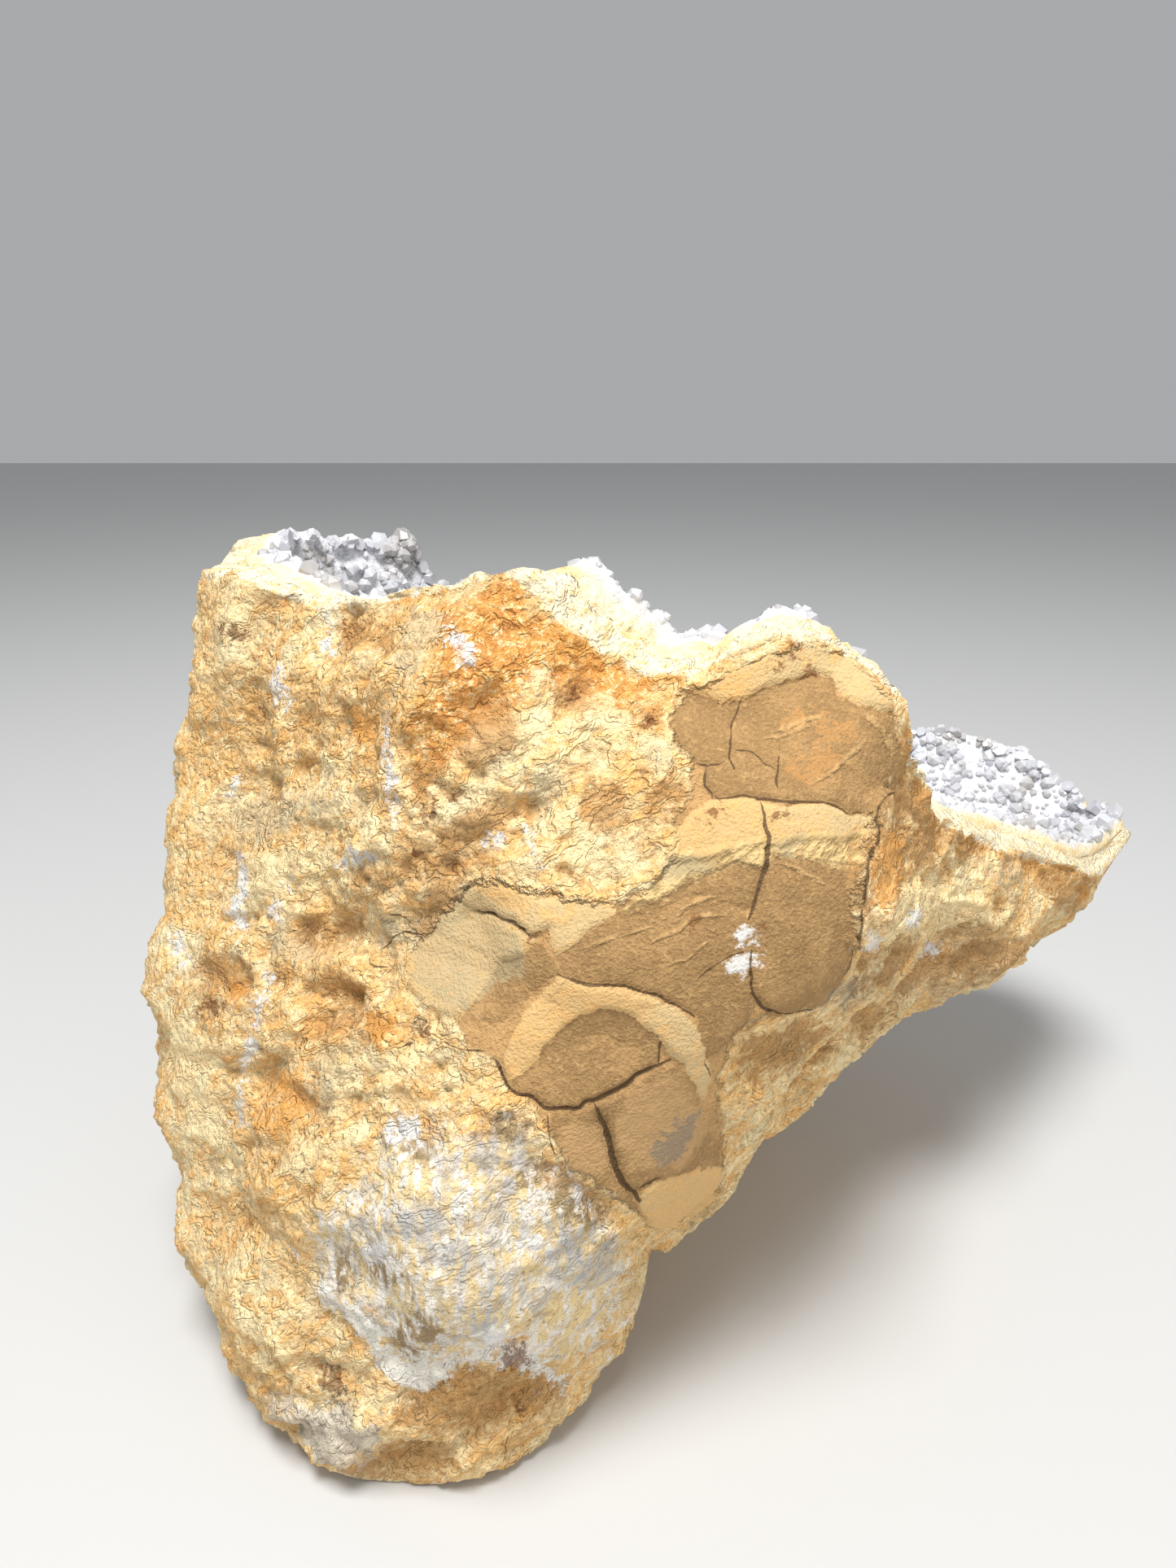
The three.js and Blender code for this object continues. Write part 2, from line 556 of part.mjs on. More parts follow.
function makeCrust() {
  const bedRing = edgeRing(RIND_SHARE).map((p, i) => {
    const across = lipRing[i].clone().sub(rimRing[i]).normalize();
    return p.addScaledVector(across, CRUST_EDGE_GAP);
  });
  const bed = hollow(bedRing, HOLLOW_FLOOR + CRUST_THICKNESS - CRUST_GAP);
  const bedRings = stepsDown(HOLLOW_ROWS).map((angle) => bedRing.map((_, i) => bed.point(i, angle)));
  const faceRings = stepsDown(HOLLOW_ROWS).map((angle) => lipRing.map((_, i) => crustFloor.point(i, angle)));
  let crust = solidFromRings(bed.bottom, [...bedRings.toReversed(), ...faceRings], crustFloor.bottom);
  const above = CENTRE.clone().addScaledVector(AXIS, VOID_HEIGHT);
  const room = solidFromRings(above, bedRings, bed.bottom);
  for (let k = 0; k < CRYSTALS; k++) {
    // an even spread: the golden ratio steps round the bowl, the square root of a random share
    // keeps more crystals near the lip than at the floor
    const column = ((k * 0.618034) % 1) * COLUMNS;
    const angle = quarter * Math.sqrt(1 - 0.93 * ((k + random()) / CRYSTALS));
    const { point, out } = crustPlace(column, Math.min(angle, quarter * 0.97));
    const lean = vec([random() - 0.5, random() - 0.5, random() - 0.2]).multiplyScalar(2 * CRYSTAL_LEAN);
    const up = out.add(lean).normalize();
    const crystal = makeCrystal(point, up, between(CRYSTAL_RADIUS), between(CRYSTAL_LENGTH));
    crust = crust.add(crystal.intersect(room));
  }
  return crust.decompose().sort((a, b) => b.volume() - a.volume())[0];
}

// ---------------------------------------------------------------- the stone

function toMesh(name, solid, color, roughness) {
  const { vertProperties, triVerts } = solid.getMesh();
  const geometry = new THREE.BufferGeometry();
  geometry.setAttribute('position', new THREE.BufferAttribute(vertProperties, 3));
  geometry.setIndex(new THREE.BufferAttribute(triVerts, 1));
  const material = new THREE.MeshStandardMaterial({ color, roughness, metalness: 0, flatShading: true });
  const mesh = new THREE.Mesh(geometry, material);
  mesh.name = name;
  mesh.position.copy(MODEL_SHIFT);
  return mesh;
}

const geode = new THREE.Group();
geode.add(toMesh('rind', makeRind(), 0xcfa96c, 0.95));
geode.add(toMesh('crystal_crust', makeCrust(), 0xdfe3e8, 0.35));

export default geode;
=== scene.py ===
# %% [markdown]
# # Dressing a geode for a close picture
#
# The real object is half of a broken geode: ochre, clayey rock that stands on its heavier end, with
# a hollow in the broken top. Pale crystals line the hollow. The CAD part gives two solids in one
# frame: `rind` (the rock) and `crystal_crust`. Here each gets a finer skin of its own that follows
# the same form, then its colours. All lengths below are in millimetres until the last moment.

import bpy
import numpy as np
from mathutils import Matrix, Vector


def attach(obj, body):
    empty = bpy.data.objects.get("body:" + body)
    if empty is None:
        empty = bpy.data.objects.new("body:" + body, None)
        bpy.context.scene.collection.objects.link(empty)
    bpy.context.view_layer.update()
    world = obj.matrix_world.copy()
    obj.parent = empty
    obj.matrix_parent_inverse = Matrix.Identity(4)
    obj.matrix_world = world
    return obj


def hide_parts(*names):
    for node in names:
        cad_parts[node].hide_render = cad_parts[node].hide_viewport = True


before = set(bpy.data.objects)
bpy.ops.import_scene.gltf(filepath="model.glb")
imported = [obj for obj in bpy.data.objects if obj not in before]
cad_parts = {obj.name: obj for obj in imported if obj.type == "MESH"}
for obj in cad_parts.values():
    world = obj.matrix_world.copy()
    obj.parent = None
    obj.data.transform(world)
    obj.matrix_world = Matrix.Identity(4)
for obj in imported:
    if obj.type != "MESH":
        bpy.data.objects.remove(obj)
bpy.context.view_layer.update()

# %% [markdown]
# ## The form: a radius for every direction
#
# A lump of rock has no edges to follow, so it could be sculpted or scanned. A skin given as "so far
# out in this direction" is simpler: a few dozen landmarks fix the form, a smooth function runs
# through them, and any grid of directions turns it into a surface as fine as we like.

# %% Frame of the landmarks
MM = 0.001
SHIFT = np.array([0.4, -0.1, 0.0])  # from the landmarks' frame to the part's frame
CENTRE = np.array([-1.0, -3.0, 60.0])
print("centre of the directions:", CENTRE)

# %% [markdown]
# A place on the front is easiest to give on a flat sheet that leans back in front of the stone. It is
# written in tenths of a millimetre, right and down from the sheet's top left corner. Straight lines
# from one eye point carry it onto the stone, and a depth says where along the line it lies.

# %% The layout sheet
EYE = np.array([-17, -155, 134.4])
LEAN = np.radians(20)
SHEET_DISTANCE = 133.7
SHEET_MIDDLE = np.array([722.5, 963.5])
AHEAD = np.array([0, np.cos(LEAN), -np.sin(LEAN)])
SHEET_RIGHT = np.array([1, 0, 0])
SHEET_UP = np.array([0, np.sin(LEAN), np.cos(LEAN)])
PICKING_ORIGIN = np.array([1, -7, 0])  # depths and back points are counted from here


def place(corners):
    """Tenths of a millimetre from the sheet's top left corner, made millimetres from its middle."""
    return (np.array(corners, float) - SHEET_MIDDLE) * [0.1, -0.1]


def to_sheet(points):
    """x and y on the sheet of points on the stone: similar triangles from the eye."""
    q = points - EYE
    depth = q @ AHEAD
    return SHEET_DISTANCE * q[..., 0] / depth, SHEET_DISTANCE * (q @ SHEET_UP) / depth


def sight(corners):
    """From the eye through each place: the distance ahead, plus x to the right, plus y up."""
    x, y = place(corners).T
    return SHEET_DISTANCE * AHEAD + x[:, None] * SHEET_RIGHT + y[:, None] * SHEET_UP


def carried(picks):
    """Points in whole millimetres: along each line of sight until it has come to its depth."""
    picks = np.array(picks, float)
    lines = sight(picks[:, :2])
    far = (picks[:, 2] + PICKING_ORIGIN[1] - EYE[1]) / lines[:, 1]
    return np.round(EYE + lines * far[:, None])


print("the eye's own axis lands at", to_sheet(EYE + 10 * AHEAD))

# %% [markdown]
# The rim of the rock goes once round the mouth, and it is the sharpest line of the whole stone. It
# could be drawn as a curve in space, but a place on the sheet and a depth are easier to judge, and
# straight lines between the rows suit a broken edge. Each row ends with how far the broken edge runs
# inward and how far it climbs. The far side lies behind the near one for a stretch, so four of its
# rows are points (x, y, z) in millimetres from the picking origin.

# %% Rim
NEAR_RIM = [
    (264, 722, 12, 9, 5), (300, 716, 3, 9, 4), (345, 738, -4, 10, 3), (400, 752, -10, 10, 3),
    (450, 744, -15, 9, 3), (485, 722, -19, 9, 2), (550, 704, -23, 10, 1), (600, 688, -25, 10, 1.5),
    (645, 706, -26, 9, 5), (680, 756, -28, 9, 7), (740, 790, -29, 10, 7), (800, 815, -30, 10, 6.5),
    (870, 822, -30, 10, 6), (930, 786, -28, 9, 4.5), (1000, 776, -26, 8, 2.5),
    (1060, 812, -25, 8, 2), (1100, 872, -25, 8, 1.5), (1125, 935, -24, 8, 2),
    (1140, 982, -16, 10, 3), (1205, 1024, -5, 12, 4), (1270, 1056, 8, 12, 4.5),
    (1335, 1076, 20, 10, 5), (1378, 1064, 29, 8, 5), (1404, 1028, 37, 5, 4),
    (1385, 1012, 46, 6, 3), (1330, 985, 54, 7, 3), (1260, 957, 60, 8, 4), (1190, 932, 64, 9, 4),
    (1150, 935, 66, 9, 4)]
FAR_RIM = [(30, 65, 70, 9, 4), (5, 66, 76, 10, 3), (-20, 64, 84, 10, 4), (-38, 59, 92, 9, 4)]
LEFT_RIM = [
    (486, 737, 54, 8, 4), (448, 692, 50, 7, 4), (420, 684, 46, 7, 4), (385, 698, 42, 8, 4),
    (345, 686, 37, 8, 4), (316, 672, 33, 8, 4), (290, 680, 27, 8, 4), (268, 700, 20, 8, 5)]
near, far, left = (np.array(rows, float) for rows in (NEAR_RIM, FAR_RIM, LEFT_RIM))
RIM = np.r_[np.c_[carried(near), near[:, 3:]],
            np.c_[far[:, :3] + PICKING_ORIGIN, far[:, 3:]],
            np.c_[carried(left), left[:, 3:]]]
print("rim rows:", len(RIM))

# %% [markdown]
# The skin below the rim has landmarks too: down the left, round the lobe, under the wing and across
# the front. An even grid would spend most of them on plain stretches, so they stand where the form
# turns. The back and the foot are points (x, y, z) in millimetres from the picking origin.

# %% Landmarks of the skin
LEFT_FLANK = [
    (245, 800, 13), (230, 880, 11), (207, 980, 7), (193, 1120, 3), (195, 1220, 0),
    (199, 1330, -7), (203, 1400, -13), (232, 1515, -24), (268, 1625, -33), (318, 1715, -40),
    (350, 1785, -44)]
LOBE_EDGE = [
    (395, 1812, -47), (440, 1820, -49), (500, 1808, -48), (570, 1797, -47), (620, 1785, -46),
    (700, 1722, -41), (748, 1685, -38), (772, 1630, -36)]
UNDERSIDE_EDGE = [
    (787, 1570, -38), (803, 1530, -40), (845, 1515, -38), (900, 1465, -32), (945, 1415, -27),
    (1000, 1350, -19), (1060, 1300, -12), (1120, 1260, -5), (1200, 1215, 3), (1290, 1165, 12),
    (1335, 1125, 19)]
FRONT_SKIN = [
    (600, 850, -32), (722, 963, -38), (480, 850, -26), (500, 1000, -34), (350, 1000, -19),
    (290, 860, 0), (300, 1150, -19), (450, 1250, -39), (600, 1250, -45), (750, 1250, -47),
    (860, 1300, -45), (850, 1440, -42), (850, 950, -37), (1000, 900, -33), (950, 1150, -42),
    (1040, 1130, -40), (1050, 1000, -35), (300, 1400, -31), (400, 1500, -43), (600, 1450, -50),
    (600, 1600, -52), (450, 1700, -50), (700, 1600, -48), (560, 1740, -50)]
WING_FACE = [
    (1085, 1050, -29), (1100, 1160, -23), (1190, 1070, -10), (1200, 1140, -5), (1290, 1100, 8),
    (1030, 1270, -22)]
BACK_SKIN = [
    (-80, 26, 62), (-70, 36, 34), (-66, 44, 85), (-48, 56, 62), (-12, 64, 50), (22, 62, 48),
    (46, 60, 50), (68, 54, 54), (-50, 44, 16), (-14, 50, 18), (16, 42, 22), (44, 34, 38),
    (62, 38, 46), (24, 16, 32), (6, 2, 24)]
FOOT = [
    (-50, -38, -3), (-34, -40, -3), (-18, -26, -3), (-14, -12, -2), (-7, 4, -1), (2, 18, -1),
    (6, 30, 1), (-14, 36, -1), (-40, 28, -1), (-56, 4, -2), (-60, -20, -2), (-30, -4, -5)]
ON_SHEET = [*LEFT_FLANK, *LOBE_EDGE, *UNDERSIDE_EDGE, *FRONT_SKIN, *WING_FACE]
LANDMARKS = np.r_[RIM[:, :3], carried(ON_SHEET), np.array([*BACK_SKIN, *FOOT]) + PICKING_ORIGIN]
print("landmarks:", len(LANDMARKS))

# %% [markdown]
# Directions are counted round an axis that points up, back and to the right, the way the hollow
# opens: an azimuth round it, and a polar angle from its foot end. So the rim is simply a polar
# angle for each azimuth, and rows of the grid run from the foot up to the rim.

# %% Directions and the smooth radius
AXIS_AZIMUTH, AXIS_ELEVATION = np.radians(46), np.radians(66)
AXIS = np.array([np.cos(AXIS_ELEVATION) * np.cos(AXIS_AZIMUTH),
                 np.cos(AXIS_ELEVATION) * np.sin(AXIS_AZIMUTH), np.sin(AXIS_ELEVATION)])
RIGHT = np.cross([0, 1, 0], AXIS)
RIGHT /= np.linalg.norm(RIGHT)
BACK = np.cross(AXIS, RIGHT)


def unit(v):
    """Vectors made one long."""
    return v / np.linalg.norm(v, axis=-1, keepdims=True)


def outward(azimuth):
    """Unit vectors square to the axis, at these azimuths."""
    return np.cos(azimuth)[..., None] * RIGHT + np.sin(azimuth)[..., None] * BACK


def direction(azimuth, polar):
    """Minus the axis times the polar angle's cosine, plus the outward vector times its sine."""
    return -AXIS * np.cos(polar)[..., None] + outward(azimuth) * np.sin(polar)[..., None]


def make_smooth_radius(points, slack=0.004):
    """Log of the radius = sum of weight times cubed distance to each landmark's direction, plus a
    constant and a linear part. The weights come from one linear solve."""
    offsets = points - CENTRE
    lengths = np.linalg.norm(offsets, axis=1)
    units = offsets / lengths[:, None]
    count = len(units)
    kernel = np.linalg.norm(units[:, None] - units[None], axis=2) ** 3
    linear = np.c_[np.ones(count), units]
    matrix = np.block([[kernel + slack * np.eye(count), linear], [linear.T, np.zeros((4, 4))]])
    weights = np.linalg.solve(matrix, np.r_[np.log(lengths), np.zeros(4)])

    def radius(d):
        flat = d.reshape(-1, 3)
        distance = np.sqrt(np.maximum(2 - 2 * flat @ units.T, 0))
        log = distance ** 3 @ weights[:count] + weights[count] + flat @ weights[count + 1:]
        return np.exp(log).reshape(d.shape[:-1])

    return radius


smooth_radius = make_smooth_radius(LANDMARKS)
print("radius straight down:", smooth_radius(np.array([[0, 0, -1.0]])))

# %% [markdown]
# Under the wing two broken faces meet in a notch. They cut the smooth form along two planes, with a
# small rounding, and the ground cuts the foot level. A relief of folded waves makes the large lumps.

# %% Notch, foot and large lumps
def sight_plane(first, second, inside):
    """The plane through two lines of sight: its normal is square to both and points away from a
    third place, and its distance is the normal times the eye. Both are rounded, as in the part."""
    a, b, c = sight([first, second, inside])
    normal = unit(np.cross(a, b))
    normal = normal if normal @ c < 0 else -normal
    return unit(np.round(normal, 3)), np.round(normal @ EYE, 1)


WING_UNDERSIDE = sight_plane((800, 1528), (1200, 1211), (700, 1200))
LOBE_SIDE = sight_plane((797, 1530), (757, 1672), (600, 1600))
GROUND = (np.array([0, 0, -1.0]), 0.0)
NOTCH_ROUNDING = 3
RELIEF_WAVES, RELIEF_LONGEST, RELIEF_SHORTEST, RELIEF_HEIGHT = 9, 44, 15, 2.3
CLAY_BALLS = [((5, -47, 80), 34), ((-8, -50, 48), 30)]
CLAY_RELIEF = 0.2


def smoothstep(low, high, x):
    """0 below low, 1 above high, an S-curve between."""
    t = np.clip((x - low) / (high - low), 0, 1)
    return t * t * (3 - 2 * t)


def reach(d, plane):
    """How far it is from the centre along d to a plane, or very far where the plane is behind."""
    normal, distance = plane
    cosine = d @ normal
    return np.where(cosine > 1e-3, (distance - normal @ CENTRE) / np.maximum(cosine, 1e-3), 1e4)


def relief(points):
    """Sum of |sin| waves in spread directions, each shorter and lower than the one before."""
    height = np.zeros(points.shape[:-1])
    for i in range(RELIEF_WAVES):
        share = i / (RELIEF_WAVES - 1)
        length = RELIEF_LONGEST * (RELIEF_SHORTEST / RELIEF_LONGEST) ** share
        turn, rise = i * 2.4, 1 - (2 * i + 1) / RELIEF_WAVES
        flat = np.sqrt(1 - rise * rise)
        along = points @ np.array([flat * np.cos(turn), flat * np.sin(turn), rise])
        height += (np.abs(np.sin(np.pi * along / length + turn)) - 0.64) * (1 - 0.6 * share)
    share = np.ones(points.shape[:-1])
    for middle, radius in CLAY_BALLS:
        far = np.linalg.norm(points - np.array(middle), axis=-1)
        share = np.minimum(share, smoothstep(radius * 0.5, radius, far))
    return height * (CLAY_RELIEF + (1 - CLAY_RELIEF) * share)


def skin_radius(d):
    """The smooth radius, cut by the notch, with the lumps on it, cut level by the ground."""
    notch = np.maximum(reach(d, WING_UNDERSIDE), reach(d, LOBE_SIDE))
    smooth = smooth_radius(d)
    h = np.clip(0.5 + 0.5 * (notch - smooth) / NOTCH_ROUNDING, 0, 1)
    bare = notch + (smooth - notch) * h - NOTCH_ROUNDING * h * (1 - h)
    rough = bare + RELIEF_HEIGHT * relief(CENTRE + d * bare[..., None])
    return np.minimum(rough, reach(d, GROUND))


# %% [markdown]
# ## Grain, lumps and layers
#
# Weathered rock looks rough at every size. Blender's own noise textures could bump it in the
# shader, but the larger roughness has to show in the outline too. So a small noise of our own moves
# the points: random numbers sit on a lattice, and a smooth blend fills the space between them.

# %% Noise made with whole arrays
def lattice(cell, seed):
    """A repeatable number from 0 to 1 for each whole-number cell, from a wrapping product."""
    n = (cell[..., 0] * 73856093) ^ (cell[..., 1] * 19349663) ^ (cell[..., 2] * 83492791) ^ seed
    n = (n ^ (n >> 13)) * 1274126177 & 0x7FFFFFFF
    n = (n ^ (n >> 15)) * 668265263 & 0x7FFFFFFF
    return (n ^ (n >> 16)) % 65536 / 65536


CORNERS = np.array([[i, j, k] for i in (0, 1) for j in (0, 1) for k in (0, 1)])
AROUND = np.array([[i, j, k] for i in (-1, 0, 1) for j in (-1, 0, 1) for k in (-1, 0, 1)])


def noise(points, size, seed):
    """Smooth noise from -1 to 1 with lumps about `size` across: a blend of 8 lattice corners."""
    p = points / size
    cell = np.floor(p).astype(np.int64)
    f = p - cell
    f = f * f * (3 - 2 * f)
    total = np.zeros(points.shape[:-1])
    for corner in CORNERS:
        weight = np.prod(np.where(corner, f, 1 - f), axis=-1)
        total += weight * lattice(cell + corner, seed)
    return 2 * total - 1


def rough(points, size, seed, octaves=4, gain=0.5):
    """Noise summed over octaves: each half the size and `gain` times the height."""
    total = np.zeros(points.shape[:-1])
    for k in range(octaves):
        total += gain ** k * noise(points, size / 2 ** k, seed + 17 * k)
    return total


def knobs(points, size, seed):
    """Rounded knobs about `size` across: 1 at scattered middles, falling to 0 between them."""
    p = points / size
    cell = np.floor(p).astype(np.int64)
    nearest = np.full(points.shape[:-1], 9.0)
    for step in AROUND:
        at = cell + step
        middle = at + np.stack([lattice(at, seed + k) for k in (1, 2, 3)], axis=-1)
        nearest = np.minimum(nearest, np.sum((p - middle) ** 2, axis=-1))
    return np.clip(1 - nearest, 0, 1)


def ridges(points, size, seed, octaves=3, gain=0.5):
    """Noise folded at zero, so that it rises to sharp crests, summed over octaves."""
    total = np.zeros(points.shape[:-1])
    for k in range(octaves):
        total += gain ** k * (0.5 - 1.6 * np.abs(noise(points, size / 2 ** k, seed + 13 * k)))
    return total


def layers(height, step, sharpness=0.25):
    """A height cut into flat terraces `step` apart, with a steep edge between each two."""
    level = height / step
    whole = np.floor(level)
    return step * (whole + smoothstep(1 - sharpness, 1, level - whole))


sample = rough(np.random.default_rng(1).uniform(-50, 50, (1000, 3)), 10, 5)
print("noise range:", sample.min(), sample.max())

# %% [markdown]
# ## Where things are on the front
#
# The clay plates, cracks and stains have places of their own, on the same layout sheet. Each outline
# is a short list of corners and each crack a short course, so two measures are needed: how deep a
# point lies inside an outline, and how far it lies beside a line.

# %% Inside an outline, beside a line
def in_outline(x, y, outline):
    """Signed distance to a closed outline, positive inside: the nearest edge gives the distance,
    the count of edges crossed to the right gives the sign."""
    corners = np.array(outline, float)
    nearest = np.full(x.shape, 1e9)
    inside = np.zeros(x.shape, bool)
    for (x0, y0), (x1, y1) in zip(corners, np.roll(corners, -1, axis=0)):
        dx, dy = x1 - x0, y1 - y0
        t = np.clip(((x - x0) * dx + (y - y0) * dy) / (dx * dx + dy * dy), 0, 1)
        nearest = np.minimum(nearest, np.hypot(x - x0 - t * dx, y - y0 - t * dy))
        crosses = (y0 > y) != (y1 > y)
        inside ^= crosses & (x < x0 + (y - y0) * dx / (dy if dy else 1))
    return np.where(inside, nearest, -nearest)


def beside_line(x, y, line, half_width, reach_out=2.5):
    """For a crack: how far to its side a point lies (with a sign), and how wide it still is there.
    The width tapers to its ends and goes below zero beyond them."""
    points = np.array(line, float)
    steps = np.hypot(*np.diff(points, axis=0).T)
    start = np.r_[0, np.cumsum(steps)]
    nearest = np.full(x.shape, 1e9)
    side, width = np.full(x.shape, 9.0), np.full(x.shape, -1.0)
    for k, ((x0, y0), (x1, y1)) in enumerate(zip(points[:-1], points[1:])):
        dx, dy = (x1 - x0) / steps[k], (y1 - y0) / steps[k]
        along = (x - x0) * dx + (y - y0) * dy
        t = np.clip(along, 0, steps[k])
        far = np.hypot(x - x0 - t * dx, y - y0 - t * dy)
        closer = far < nearest
        nearest = np.where(closer, far, nearest)
        turned = np.where((x - x0) * dy - (y - y0) * dx >= 0, 1, -1)
        side = np.where(closer, turned * far, side)
        beyond = np.maximum(-along if k == 0 else 0, along - steps[k] if k == len(steps) - 1 else 0)
        travelled = (start[k] + t) / start[-1]
        taper = np.clip(4 * np.minimum(travelled, 1 - travelled) + 0.25, 0, 1)
        here = half_width * taper - np.maximum(beyond, 0)
        width = np.where(closer, here, width)
    return side, width - np.maximum(nearest - reach_out, 0)


UNIT_SQUARE = [(0, 0), (1, 0), (1, 1), (0, 1)]
print("depth inside a square:", in_outline(np.array([0.5]), np.array([0.4]), UNIT_SQUARE))

# %% [markdown]
# Dried clay covers part of the front. It has cracked into plates, and some stand higher than their
# neighbours. A noise could break it up, but then no plate would lie where it lies on this stone. So
# each plate has its height, its kind of clay and its outline.

